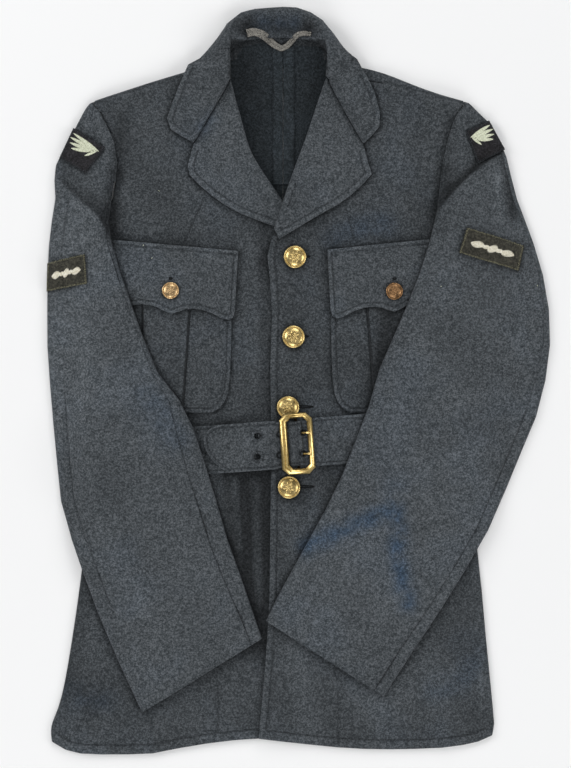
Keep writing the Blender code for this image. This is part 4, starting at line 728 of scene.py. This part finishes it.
def pressEdges(name, points, tone, upward):
    # rolls the edges over and sinks the rows of stitches and the sewn lines; painted shade darkens the
    # grooves and plain edges, and painted light lightens the welts
    _, samples, edgeTree = rows[name]
    for n in np.flatnonzero(upward):
        spot = Vector(points[n])
        _, k, away = edgeTree.find(spot)
        if k is None or away > groove["reach"]:
            continue
        edge, inward, inset = samples[k]
        points[n, 2] -= groove["roll"] * bell(away, groove["rollHalf"])
        if inset == 0:
            tone[n] += groove["edgeTone"] * bell(away, groove["edgeHalf"])
        elif away < 0.0005 or (spot - edge).dot(inward) > 0.6 * away:
            line = bell(away - inset, groove["half"])
            points[n, 2] -= groove["depth"] * line
            tone[n] += groove["rowTone"] * line
            if away < inset:
                points[n, 2] += groove["welt"] * math.sin(math.pi * away / inset)
                tone[n] += groove["weltTone"]
    for line in sewnLines.get(name, []):
        signed, share = nearLine(points, line)
        sewn = bell(signed, groove["half"]) * upward * ((share > 0) & (share < 1))
        points[:, 2] -= groove["sewnDepth"] * sewn
        tone += groove["sewnTone"] * sewn


def makeCloth(name):
    piece = cloth[name] = roundedCloth(name)
    rims = rimsOf(piece)
    if name not in plain:
        middles, normals = faceValues(piece)
        refine(piece, middles, normals[:, 2] > 0.15, 1)
    samples = []
    for chain in chained(rims):
        samples += [(spot, inward, insetAt(name, spot)) for spot, _, inward in alongChain(chain, 0.001)]
    edgeTree = treeOf([spot for spot, _, _ in samples])
    rows[name] = (chained([rim for rim in rims if insetAt(name, (rim[0] + rim[1]) / 2)]), samples, edgeTree)
    if name not in plain:
        cutFiner(piece, name, samples, edgeTree)

    points = pointsOf(piece)
    normals = np.zeros(len(points) * 3)
    piece.data.vertices.foreach_get("normal", normals)
    for line, reach, across in closings.get(name, []):
        points[:, :2] += bell(nearLine(points, line)[0], reach)[:, None] * np.array(across)
    height, tone = creaseHeight(points)
    tone += paintedTone(name, points) + sheets[name].get("tone", 0.0)
    if name == "collar":
        # what lies deep in the neck, below its seam, is in shade
        lower = gridMiddle[1] - points[:, 1] / gridStep - neck["from"]
        deep = np.clip((neck["height"] - points[:, 2]) / neck["fade"], 0, 1) * np.clip(lower / 1.5, 0, 1)
        deep *= np.abs(points[:, 0] - place(neck["middle"], 0).x) < neck["half"]
        tone = tone * (1 - deep) - neck["shade"] * deep
    if name not in plain:
        pressEdges(name, points, tone, normals.reshape(-1, 3)[:, 2] > 0.25)
    share = np.clip((points[:, 2] - creased["from"]) / creased["over"], 0, 1)
    share = share * share * (3 - 2 * share)
    points[:, 2] = np.maximum(points[:, 2] + height * share, 0.0)
    movePoints(piece, points)
    paint(piece, "dye", paintedDye(points))
    paintedShadingAndWear[name] = tone
    if name in plain:
        # the back shows its inner face inside the neck, in a darker copy of the wool that is painted shade
        piece.data.materials.append(shadedWoolInside)
        middles, normals = faceValues(piece)
        across = np.abs(middles[:, 0] - place(innerFace["middle"], 0).x)
        inside = (middles[:, 1] < place(0, innerFace["top"]).y) & (across < innerFace["half"])
        inside &= normals[:, 2] > 0
        piece.data.polygons.foreach_set("material_index", inside.astype(np.int32))


for group in laying:
    for name in group:
        makeCloth(name)
    settle(group)


def outlineOf(node, pitch=0.001):
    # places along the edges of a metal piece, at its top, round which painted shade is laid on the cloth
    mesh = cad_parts[node].data
    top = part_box(node)[1].z
    found = []
    for edge in mesh.edges:
        a, b = (mesh.vertices[k].co for k in edge.vertices)
        steps = [a.lerp(b, (k + 0.5) * pitch / (b - a).length) for k in range(int((b - a).length / pitch))]
        found += [Vector((spot.x, spot.y, top)) for spot in steps]
    return found


# Painted shade is laid on each piece along the edges of what lies on it.
contactShade = {
    "near": -0.85, "nearReach": 0.0016, "wide": -0.3, "wideReach": 0.0065, "end": 0.018, "step": 0.0007,
    "seamReach": 0.005,
}
metal = [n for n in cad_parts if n.startswith(("button", "buckle"))]
metalEdges = [spot for node in metal for spot in outlineOf(node)]
order = list(cloth)
for number, name in enumerate(order):
    if name in plain:
        continue
    above = [spot for other in order[number + 1 :] for spot, _, _ in rows[other][1]] + metalEdges
    tree = treeOf([(spot.x, spot.y, 0) for spot in above])
    points = pointsOf(cloth[name])
    away = np.full(len(points), 9.0)
    for n, (x, y, z) in enumerate(points):
        _, k, reach = tree.find((x, y, 0))
        if reach < contactShade["end"] and above[k].z > z + contactShade["step"]:
            away[n] = reach
    paintedEdgeShade = contactShade["near"] * bell(away, contactShade["nearReach"]) + contactShade["wide"] * bell(away, contactShade["wideReach"])
    for line in flatSeams:
        paintedEdgeShade *= 1 - bell(nearLine(points, line)[0], contactShade["seamReach"])
    paintedShadingAndWear[name] += paintedEdgeShade


def seamTone(point):
    # the sleeves' long seams show as thin dark lines where they lie on top; elsewhere painted light softens
    # the shade along them
    return -0.5 if point[1] < place(0, 410).y and point[0] > place(150, 0).x else 0.4


for name in [name for name in cloth if "_sleeve_" in name]:
    other = name.replace("top_", "under_") if name.startswith("top_") else name.replace("under_", "top_")
    tree = treeOf([spot for spot, _, _ in rows[other][1]])
    for n, point in enumerate(pointsOf(cloth[name])):
        paintedShadingAndWear[name][n] += seamTone(point) * bell(tree.find(point)[2], 0.001)
for name, piece in cloth.items():
    paint(piece, "paintedShadingAndWear", paintedShadingAndWear[name])
    smoothShade(piece)
    setOut(piece, [name])
    print("cloth", name, sum(len(p.vertices) - 2 for p in piece.data.polygons), "triangles")


# Thread: one stitch is modelled once and copied along each line. across: stitches lie across the line.
stitchKinds = {
    "sewn": {"pitch": 0.0034, "length": 0.0025, "width": 0.0007, "rise": 0.00012},
    "innerEyelet": {"pitch": 0.0008, "length": 0.0016, "width": 0.0006, "rise": 0.0003, "across": True},
    "outerEyelet": {"pitch": 0.000992, "length": 0.0022, "width": 0.0006, "rise": 0.0003, "across": True},
    "buttonhole": {"pitch": 0.0009, "length": 0.0017, "width": 0.0008, "rise": 0.0004, "across": True},
    "tack": {"pitch": 0.002, "length": 0.0022, "width": 0.0006, "rise": 0.0002},
    "edging": {"pitch": 0.0013, "length": 0.0022, "width": 0.0005, "rise": 0.0002, "across": True},
}
rowStitch = {"pitch": 0.0034, "length": 0.0025, "width": 0.0007, "height": 0.0006, "rise": 0.0001}


def surfaceOf(pieces):
    points, faces = [], []
    for piece in pieces:
        start = len(points)
        points += [v.co.copy() for v in piece.data.vertices]
        faces += [[start + k for k in p.vertices] for p in piece.data.polygons]
    return BVHTree.FromPolygons(points, faces)


def dropOn(surface, spot):
    return surface.ray_cast(Vector((spot.x, spot.y, 0.2)), down)[:2]


stitchMaster = added(bpy.ops.mesh.primitive_uv_sphere_add, segments=6, ring_count=4, radius=1.0)
stitchMaster.data.transform(Matrix.Rotation(math.radians(90), 4, "Y"))
stitchPoints = pointsOf(stitchMaster)
stitchFaces = [tuple(p.vertices) for p in stitchMaster.data.polygons]
bpy.data.objects.remove(stitchMaster)


def stitchMesh(name, stitches, material):
    # stitches: middle, direction, normal, length, width, height
    points, faces = [], []
    for middle, way, normal, length, width, height in stitches:
        side = normal.cross(way).normalized()
        way = side.cross(normal).normalized()
        start = len(points)
        for x, y, z in stitchPoints:
            spot = middle + way * (x * length / 2) + side * (y * width / 2)
            points.append(spot + normal * (z * height / 2))
        faces += [tuple(start + k for k in face) for face in stitchFaces]
    piece = newMesh(name, points, faces, material)
    smoothShade(piece, 80)
    setOut(piece)


def spaced(line, pitch):
    # points and directions every pitch along a line of places
    found = []
    carried = 0.0
    for a, b in zip(line, line[1:]):
        run = b - a
        length = run.length
        if length == 0:
            continue
        at = pitch - carried if found else 0.0
        while at <= length:
            found.append((a + run * (at / length), run / length))
            at += pitch
        carried = length - (at - pitch)
    return found


def stitchRuns(lines, surface, pitch, length, width, rise, across=False):
    made = []
    for line in lines:
        for spot, way in spaced([place(x, y) for x, y in line], pitch):
            hit, normal = dropOn(surface, spot)
            if hit is None:
                continue
            turn = Vector((-way.y, way.x, 0)) if across else way
            long = length * dice.uniform(0.9, 1.05)
            made.append((hit + normal * rise, turn, normal, long, width, width * 0.8))
    return made


def ringStitches(x, y, halfX, halfY, steps, surface, kind):
    # stitches worked round an opening
    turns = np.linspace(0, 2 * math.pi, steps)
    ring = [(x + halfX * math.cos(t), y + halfY * math.sin(t)) for t in turns]
    return stitchRuns([ring], surface, **stitchKinds[kind])


def rowStitches(name, surface):
    # one row of stitches along every stitched edge of a piece
    made = []
    chains, _, edgeTree = rows[name]
    for chain in chains:
        for edge, way, inward in alongChain(chain, rowStitch["pitch"]):
            inset = insetAt(name, edge)
            spot = edge + inward * inset
            if edgeTree.find(spot)[2] < inset * 0.9:
                continue
            hit, normal = dropOn(surface, spot)
            if hit is not None and abs(hit.z - edge.z) < 0.006:
                length = rowStitch["length"] * dice.uniform(0.88, 1.06)
                spot = hit + normal * rowStitch["rise"]
                made.append((spot, way, normal, length, rowStitch["width"], rowStitch["height"]))
    return made


stitchCount = 0
for name in sorted(set(stitched) | set(sewnLines)):
    surface = surfaceOf([cloth[name]])
    made = rowStitches(name, surface)
    if not name.startswith("pocket"):
        made += stitchRuns(sewnLines.get(name, []), surface, **stitchKinds["sewn"])
    stitchCount += len(made)
    stitchMesh(name + "_stitches", made, stitchThread)

# Worked eyelets in the belt, in pairs, and buttonholes beside the buttons.
belt = {"eyelets": (257.5, 280.0, 303.0), "offset": 10.4, "middle": (297.0, 443.0), "slope": -0.075}
buttonholes = {                # the button's place and how far the hole reaches to its right
    "button_front_1": (295, 257, 15), "button_front_2": (293.5, 337, 15),
    "button_front_3": (288, 407.2, 25), "button_front_4": (289, 487, 25),
}
beltSurface = surfaceOf([cloth["belt"]])
eyelets = []
for x in belt["eyelets"]:
    y = belt["middle"][1] + belt["slope"] * (x - belt["middle"][0])
    for offset in (belt["offset"], -belt["offset"]):
        eyelets += ringStitches(x, y + offset, 2.5, 2.5, 25, beltSurface, "innerEyelet")
        eyelets += ringStitches(x, y + offset, 3.1, 3.1, 25, beltSurface, "outerEyelet")
stitchMesh("belt_eyelets", eyelets, darkThread)
frontSurface = surfaceOf([cloth["front_left"]])
holes = []
for x, y, reach in buttonholes.values():
    half = (reach - 2) / 2
    holes += ringStitches(x + 2 + half, y - 0.5, half, 1.0, 41, frontSurface, "buttonhole")
stitchMesh("front_buttonholes", holes, darkThread)
for side, x, y in (("right", 171, 279), ("left", 394, 279)):
    worked = ringStitches(x, y, 1.5, 1.0, 41, surfaceOf([cloth["flap_" + side]]), "buttonhole")
    stitchMesh("flap_buttonhole_" + side, worked, darkThread)
print("stitches:", stitchCount + len(eyelets) + len(holes))


# Pressed-open seam allowance down the centre back, seen inside the neck: places on the grid, thickness and
# length in metres.
allowance = {
    "left": (283.4, 294.5), "right": (272.6, 282.6), "top": 47.0, "end": 184.0,
    "thick": 0.0011, "length": 0.143,
}
backSurface = surfaceOf([cloth["back_left"], cloth["back_right"]])
for side in ("left", "right"):
    strip = added(bpy.ops.mesh.primitive_grid_add, x_subdivisions=6, y_subdivisions=60, size=1)
    strip.name = "back_allowance_" + side
    points = pointsOf(strip) + 0.5
    x0, x1 = allowance[side]
    for k, (u, v, _) in enumerate(points):
        wobble = 0.5 * math.sin(v * 19) * (u if side == "left" else 1 - u)
        y = allowance["end"] + (allowance["top"] - allowance["end"]) * v
        spot = place(x0 + (x1 - x0) * u + wobble, y)
        hit, _ = dropOn(backSurface, spot)
        points[k] = (spot.x, spot.y, (hit.z if hit else 0.002) + 0.0001)
    movePoints(strip, points)
    body = strip.modifiers.new("body", "SOLIDIFY")
    body.thickness = allowance["thick"]
    body.offset = 1.0
    applyAll(strip)
    smoothShade(strip)
    width = (x1 - x0) * gridStep
    across = (pointsOf(strip)[:, 0] - place(x0, 0).x) / width
    # the strips are painted lighter, with painted shade along their outer edge
    paint(strip, "paintedShadingAndWear", 0.5 - 1.4 * bell(across - (1.0 if side == "left" else 0.0), 0.1))
    strip.data.materials.append(shadedWoolInside)
    setOut(strip)


# Hanger loop: two strands of tape twisted together, tacked at both ends. x, y and width on the grid.
hanger = [
    (247, 34.5, 8), (254, 33, 8), (261, 35, 8), (268, 39.5, 7.5), (275, 45.5, 7), (281.5, 49, 6),
    (287.5, 46, 5.5), (293, 40, 5.5), (298, 35.5, 5), (304, 34.5, 5), (311, 35.5, 5),
]
tape = {                    # metres; apart and half are shares of half the loop's width
    "pitch": 0.0011, "sides": 8, "twist": 0.16, "apart": 0.5, "rise": 0.0006, "half": 0.52, "thick": 0.0008,
}


def hangerLoop():
    solid = surfaceOf([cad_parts["hanger_loop"]])
    under = surfaceOf([cloth["collar"], cloth["back_left"], cloth["back_right"]])
    path = spaced([place(x, y) for x, y, _ in hanger], tape["pitch"])
    widths = np.interp(np.linspace(0, 1, len(path)), np.linspace(0, 1, len(hanger)), [w for *_, w in hanger])
    points, faces, sides = [], [], tape["sides"]
    for strand in range(2):
        for n, ((spot, way), width) in enumerate(zip(path, widths)):
            heights = [hit.z for hit in (dropOn(solid, spot)[0], dropOn(under, spot)[0]) if hit]
            height = max(heights[0] - 0.0004, heights[-1] + 0.0012)
            side = Vector((-way.y, way.x, 0))
            turn = 0.5 * math.sin(n * tape["twist"]) + strand * math.pi
            half = width * gridStep / 2
            middle = Vector((spot.x, spot.y, height + math.sin(turn) * tape["rise"]))
            middle += side * (math.cos(turn) * half * tape["apart"])
            for k in range(sides):
                angle = 2 * math.pi * k / sides
                out, lift = math.cos(angle) * half * tape["half"], math.sin(angle) * tape["thick"]
                points.append(middle + side * out + up * lift)
        base = strand * len(path) * sides
        for n in range(len(path) - 1):
            for k in range(sides):
                a, b = base + n * sides + k, base + n * sides + (k + 1) % sides
                faces.append((a, b, b + sides, a + sides))
        faces.append(tuple(base + k for k in range(sides))[::-1])
        faces.append(tuple(base + (len(path) - 1) * sides + k for k in range(sides)))
    piece = newMesh("hanger_tape", points, faces, tapeCotton)
    selectOnly(piece)
    bpy.ops.object.mode_set(mode="EDIT")
    bpy.ops.mesh.select_all(action="SELECT")
    bpy.ops.mesh.normals_make_consistent(inside=False)
    bpy.ops.object.mode_set(mode="OBJECT")
    smoothShade(piece, 70)
    setOut(piece, ["hanger_loop"])
    tacks = []
    top = surfaceOf([piece])
    for x0, y0 in ((247.5, 34.5), (310, 35.3)):
        lines = [[(x0 - 1.5, y0 - 4 + 2 * k), (x0 + 2, y0 - 4 + 2 * k)] for k in range(5)]
        tacks += stitchRuns(lines, top, **stitchKinds["tack"])
    stitchMesh("hanger_tacks", tacks, darkThread)


hangerLoop()


# Badges: plain generic motifs in satin stitch.
satin = {"pitch": 0.00055, "width": 0.0007, "slant": 0.5, "rise": 0.0002, "shortest": 0.0004}


def satinLeaves(leaves, surface):
    # each leaf: x, y of its two ends and its half width; stitches lie across it on a slant
    made = []
    for x0, y0, x1, y1, half in leaves:
        a, b = place(x0, y0), place(x1, y1)
        run = b - a
        count = max(int(run.length / satin["pitch"]), 3)
        way = run.normalized()
        side = (Vector((-way.y, way.x, 0)) + way * satin["slant"]).normalized()
        for n in range(count + 1):
            t = n / count
            reach = half * gridStep * math.sin(math.pi * min(max(t * 0.94 + 0.03, 0), 1)) ** 0.75
            hit, normal = dropOn(surface, a + run * t)
            if hit is not None and reach >= satin["shortest"]:
                spot = hit + normal * satin["rise"]
                made.append((spot, side, normal, 2 * reach, satin["width"], satin["width"] * 1.3))
    return made


def onBadge(corners, u, v):
    # grid place of a share u along and v across a badge
    (ax, ay), (bx, by), (cx, cy), (dx, dy) = corners
    x = (ax * (1 - u) + bx * u) * (1 - v) + (dx * (1 - u) + cx * u) * v
    y = (ay * (1 - u) + by * u) * (1 - v) + (dy * (1 - u) + cy * u) * v
    return x, y


badges = {
    "shoulder_patch_left": [(466, 131.5), (489, 120.5), (505, 149.5), (478, 163.5)],
    "shoulder_patch_right": [(105.5, 147.5), (73.5, 128), (59.5, 157.5), (86, 173.5)],
    "sleeve_badge_left": [(465.5, 228.5), (524, 246), (518.5, 271), (457.5, 253.5)],
    "sleeve_badge_right": [(86, 255), (47.3, 263.5), (46.5, 291.5), (88, 284)],
}
sprigLeaves = [             # shares of the patch: leaf root, leaf tip, half width in grid steps
    (0.08, 0.22, 0.92, 0.14, 2.4), (0.14, 0.26, 0.95, 0.29, 2.5), (0.20, 0.32, 0.90, 0.44, 2.4),
    (0.28, 0.38, 0.80, 0.57, 2.2), (0.12, 0.24, 0.34, 0.56, 1.7),
]
lozenges = [                # a row of five plain lozenges
    (0.14, 0.50, 0.36, 0.50, 4.6), (0.33, 0.50, 0.45, 0.50, 2.8), (0.42, 0.50, 0.58, 0.50, 5.6),
    (0.55, 0.50, 0.67, 0.50, 2.8), (0.64, 0.50, 0.86, 0.50, 4.6),
]
for name, corners in badges.items():
    surface = surfaceOf([cloth[name]])
    shoulder = name.startswith("shoulder")
    leaves = []
    for u0, v0, u1, v1, half in sprigLeaves if shoulder else lozenges:
        leaves.append((*onBadge(corners, u0, v0), *onBadge(corners, u1, v1), half))
    stitchMesh(name + "_motif", satinLeaves(leaves, surface), paleThread if shoulder else creamThread)
    middleX, middleY = (sum(c[axis] for c in corners) / 4 for axis in (0, 1))
    inner = [(x + (middleX - x) * 0.05, y + (middleY - y) * 0.05) for x, y in corners]
    edge = [[inner[k], inner[(k + 1) % 4]] for k in range(4)]
    around = [
        (m + Vector((dice.uniform(-1, 1), dice.uniform(-1, 1), 0)) * 0.0003,
         Matrix.Rotation(dice.uniform(-0.35, 0.35), 3, "Z") @ w, n, l * dice.uniform(0.7, 1.3), t, h)
        for m, w, n, l, t, h in stitchRuns(edge, surface, **stitchKinds["edging"])
    ]
    stitchMesh(name + "_edging", around, stitchThread if shoulder else frayThread)
print("badges worked")

# Specks of lint that lie on the cloth: x, y, turn in degrees.
lint = {
    "flap_right": [(152.5, 258.5, 30), (143.7, 245.6, 80)],
    "front_right": [(158.7, 190.5, 120), (186, 296, 10)],
    "top_sleeve_left": [(537.4, 285.6, 40), (440, 287, 150)],
}
for name, specks in lint.items():
    surface = surfaceOf([cloth[name]])
    made = []
    for x, y, turn in specks:
        hit, normal = dropOn(surface, place(x, y))
        for lean in (0, 0.7):
            way = Vector((math.cos(math.radians(turn) + lean), math.sin(math.radians(turn) + lean), 0))
            made.append((hit + normal * 0.0002, way, normal, 0.0016, 0.00035, 0.0003))
    stitchMesh(name + "_lint", made, paleThread)


# Brass buttons: domed shell, rolled rim, rope ring and a plain rosette. Sizes are shares of the radius.
button = {
    "dome": 0.86, "flatness": 0.36, "foot": 0.13, "rim": 0.93, "rimHalf": 0.06, "beads": 40, "rope": 0.83,
    "petals": 8, "petalAt": 0.36, "knob": 0.13,
}
buttonSizes = {"front": 0.0117, "flap": 0.0088}
buttonTurns = {             # turn and lean in degrees
    "button_front_1": (20, 4), "button_front_2": (65, -3),
    "button_front_3": (140, 3), "button_front_4": (-30, -4),
    "button_flap_left": (10, 5), "button_flap_right": (80, -4),
}
buttonFinish = {"button_flap_right": wornBrass, "button_flap_left": darkBrass}


def buttonMaster(radius):
    def sphere(segments, rings, size, shape):
        made = added(bpy.ops.mesh.primitive_uv_sphere_add, segments=segments, ring_count=rings, radius=size)
        made.data.transform(shape)
        return made

    dome = sphere(48, 24, radius * button["dome"], Matrix.Identity(4))
    bpy.ops.object.mode_set(mode="EDIT")
    bpy.ops.mesh.select_all(action="SELECT")
    bpy.ops.mesh.bisect(plane_co=(0, 0, 0), plane_no=(0, 0, 1), clear_inner=True, use_fill=True)
    bpy.ops.object.mode_set(mode="OBJECT")
    lifted = Matrix.Translation((0, 0, radius * button["foot"]))
    dome.data.transform(lifted @ Matrix.Diagonal((1, 1, button["flatness"], 1)))
    plate = added(
        bpy.ops.mesh.primitive_cylinder_add, vertices=64, radius=radius, depth=radius * 0.18,
        location=(0, 0, radius * 0.1),
    )
    bpy.ops.object.transform_apply(location=True, rotation=True, scale=True)
    softened = plate.modifiers.new("softened", "BEVEL")
    softened.width = radius * 0.07
    softened.segments = 4
    softened.limit_method = "ANGLE"
    bpy.ops.object.modifier_apply(modifier="softened")
    rim = added(
        bpy.ops.mesh.primitive_torus_add, major_radius=radius * button["rim"], major_segments=72,
        minor_radius=radius * button["rimHalf"], minor_segments=10, location=(0, 0, radius * 0.19),
    )
    parts = [dome, plate, rim]
    for k in range(button["beads"]):
        angle = 2 * math.pi * k / button["beads"]
        out = radius * button["rope"]
        spot = Matrix.Translation((out * math.cos(angle), out * math.sin(angle), radius * 0.215))
        size = Matrix.Diagonal((radius * 0.055, radius * 0.03, radius * 0.035, 1))
        parts.append(sphere(8, 6, 1.0, spot @ Matrix.Rotation(angle + 0.6, 4, "Z") @ size))
    inDome = button["petalAt"] / button["dome"]
    height = radius * (button["foot"] + button["dome"] * button["flatness"] * math.sqrt(1 - inDome**2))
    for k in range(button["petals"]):
        turn = Matrix.Rotation(2 * math.pi * k / button["petals"], 4, "Z")
        spot = Matrix.Translation((radius * button["petalAt"], 0, height)) @ Matrix.Rotation(0.17, 4, "Y")
        size = Matrix.Diagonal((radius * 0.19, radius * 0.085, radius * 0.05, 1))
        parts.append(sphere(12, 8, 1.0, turn @ spot @ size))
    knob = Matrix.Translation((0, 0, radius * 0.42)) @ Matrix.Diagonal((1, 1, 0.5, 1))
    parts.append(sphere(16, 10, radius * button["knob"], knob))
    bpy.ops.object.select_all(action="DESELECT")
    for part in parts:
        part.data.transform(part.matrix_world)
        part.matrix_world = Matrix.Identity(4)
        part.select_set(True)
    bpy.context.view_layer.objects.active = dome
    bpy.ops.object.join()
    dome.data.materials.clear()
    dome.data.materials.append(buttonBrass)
    smoothShade(dome, 40)
    return dome


masters = {kind: buttonMaster(radius) for kind, radius in buttonSizes.items()}
for node, (turn, lean) in buttonTurns.items():
    low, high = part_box(node)
    copy = placed(node + "_brass", masters[node.split("_")[1]].data.copy())
    copy.data.materials[0] = buttonFinish.get(node, buttonBrass)
    seat = Matrix.Translation(((low.x + high.x) / 2, (low.y + high.y) / 2, low.z))
    tip = Matrix.Rotation(math.radians(lean), 4, "X")
    copy.data.transform(seat @ tip @ Matrix.Rotation(math.radians(turn), 4, "Z"))
    setOut(copy, [node])
for master in masters.values():
    bpy.data.objects.remove(master)


# Buckle and prongs: the solids' own forms with their edges rounded by wear.
buckle = {
    "middle": (297.0, 443.0), "tilt": 4, "opening": (0.0092, 0.0254), "bar": (0.004, 0.0285),   # half sizes
    "ridgeInset": 0.0018, "ridgeRise": 0.0008,
}
edgeWear = {"buckle_frame": 0.0006, "prong_upper": 0.0003, "prong_lower": 0.0003}


def withinBuckle(piece, *parts):
    # which points lie inside the named parts of the buckle, seen from above
    middle, tilt = place(*buckle["middle"]), math.radians(buckle["tilt"])
    x, y = (pointsOf(piece)[:, :2] - np.array(middle.xy)).T
    across = np.abs(x * math.cos(tilt) + y * math.sin(tilt))
    along = np.abs(y * math.cos(tilt) - x * math.sin(tilt))
    return np.any([(across < buckle[part][0]) & (along < buckle[part][1]) for part in parts], axis=0)


def raiseRidge(piece):
    # the frame's face rises to a flat ridge between two slopes; the ridge takes a darker brass, and the
    # covered bar a dark brass, both as painted shade
    bar = withinBuckle(piece, "bar")
    for face in piece.data.polygons:
        face.select = face.normal.z > 0.85 and not any(bar[k] for k in face.vertices)
    bpy.ops.object.mode_set(mode="EDIT")
    bpy.ops.mesh.inset(
        thickness=buckle["ridgeInset"], depth=buckle["ridgeRise"], use_boundary=True, use_even_offset=True,
    )
    bpy.ops.object.mode_set(mode="OBJECT")
    piece.data.materials.append(shadedBarBrass)
    piece.data.materials.append(shadedRidgeBrass)
    for face in piece.data.polygons:
        face.material_index = 2 if face.select else 0


for node, width in edgeWear.items():
    piece = mergedCopy(node, node + "_brass", buckleBrass)
    if node == "buckle_frame":
        bpy.ops.mesh.tris_convert_to_quads(face_threshold=math.radians(30), shape_threshold=math.radians(80))
    else:
        bpy.ops.mesh.dissolve_limited(angle_limit=math.radians(2))
    bpy.ops.mesh.select_all(action="DESELECT")
    bpy.ops.object.mode_set(mode="OBJECT")
    if node == "buckle_frame":
        raiseRidge(piece)
    worn = piece.modifiers.new("worn", "BEVEL")
    worn.width = width
    worn.segments = 4
    worn.limit_method = "ANGLE"
    worn.angle_limit = math.radians(25)
    applyAll(piece)
    if node == "buckle_frame":
        # the bar inside the opening, where the belt covers it, is given a dark brass as painted shade
        inside = withinBuckle(piece, "opening", "bar")
        for face in piece.data.polygons:
            if all(inside[k] for k in face.vertices):
                face.material_index = 1
    smoothShade(piece, 35)
    setOut(piece, [node])
print("brass made")


# Studio: pale paper and four low soft boxes round the table, the left one the strongest, and a weak one
# above for the brass. boxes: turn in degrees and share of the ring's strength.
studio = {
    "paper": "#f4f4f4", "sky": "#f7f9fc", "world": 0.22, "ring": 17.2, "above": 8.0, "distance": 2.2,
    "elevation": 32, "size": 1.1, "aboveDistance": 2.9, "aboveSize": 1.6,
    "boxes": {"boxTop": (80, 0.92), "boxLeft": (160, 1.12), "boxBottom": (260, 1.1), "boxRight": (350, 0.9)},
    "cameraAt": (285.5, 384.0), "cameraHeight": 1.8, "clothHeight": 0.006, "picture": 768,
}


def softBox(name, turn, elevation, distance, size, energy):
    rise, way = math.radians(elevation), math.radians(turn)
    spot = Vector((math.cos(way) * math.cos(rise), math.sin(way) * math.cos(rise), math.sin(rise))) * distance
    light = bpy.data.lights.new(name, "AREA")
    light.size = size
    light.energy = energy
    lamp = placed(name, light)
    lamp.location = spot
    lamp.rotation_euler = spot.to_track_quat("Z", "Y").to_euler()
    lamp.visible_camera = False


floor = added(bpy.ops.mesh.primitive_plane_add, size=4.0, location=(0, 0, -0.0002))
floor.name = "studioFloor"
floor.data.transform(floor.matrix_world)
floor.matrix_world = Matrix.Identity(4)
paper = {"Base Color": linear(studio["paper"]), "Roughness": 0.9}
floor.data.materials.append(newMaterial("matteBackgroundPaper", paper)[0])
world = bpy.data.worlds.new("softStudio")
bpy.context.scene.world = world
world.use_nodes = True
world.node_tree.nodes["Background"].inputs["Color"].default_value = linear(studio["sky"])
world.node_tree.nodes["Background"].inputs["Strength"].default_value = studio["world"]
for name, (turn, share) in studio["boxes"].items():
    softBox(name, turn, studio["elevation"], studio["distance"], studio["size"], studio["ring"] * share)
softBox("boxAbove", 0, 89.9, studio["aboveDistance"], studio["aboveSize"], studio["above"])
camera = bpy.data.cameras.new("camera")
camera.sensor_fit = "VERTICAL"
camera.sensor_height = 36.0
camera.lens = 36.0 * (studio["cameraHeight"] - studio["clothHeight"]) / (studio["picture"] * gridStep)
cameraObject = placed("camera", camera)
cameraObject.location = (*place(*studio["cameraAt"]).xy, studio["cameraHeight"])
bpy.context.scene.camera = cameraObject
bpy.context.scene.view_settings.view_transform = "Standard"
print("studio set")
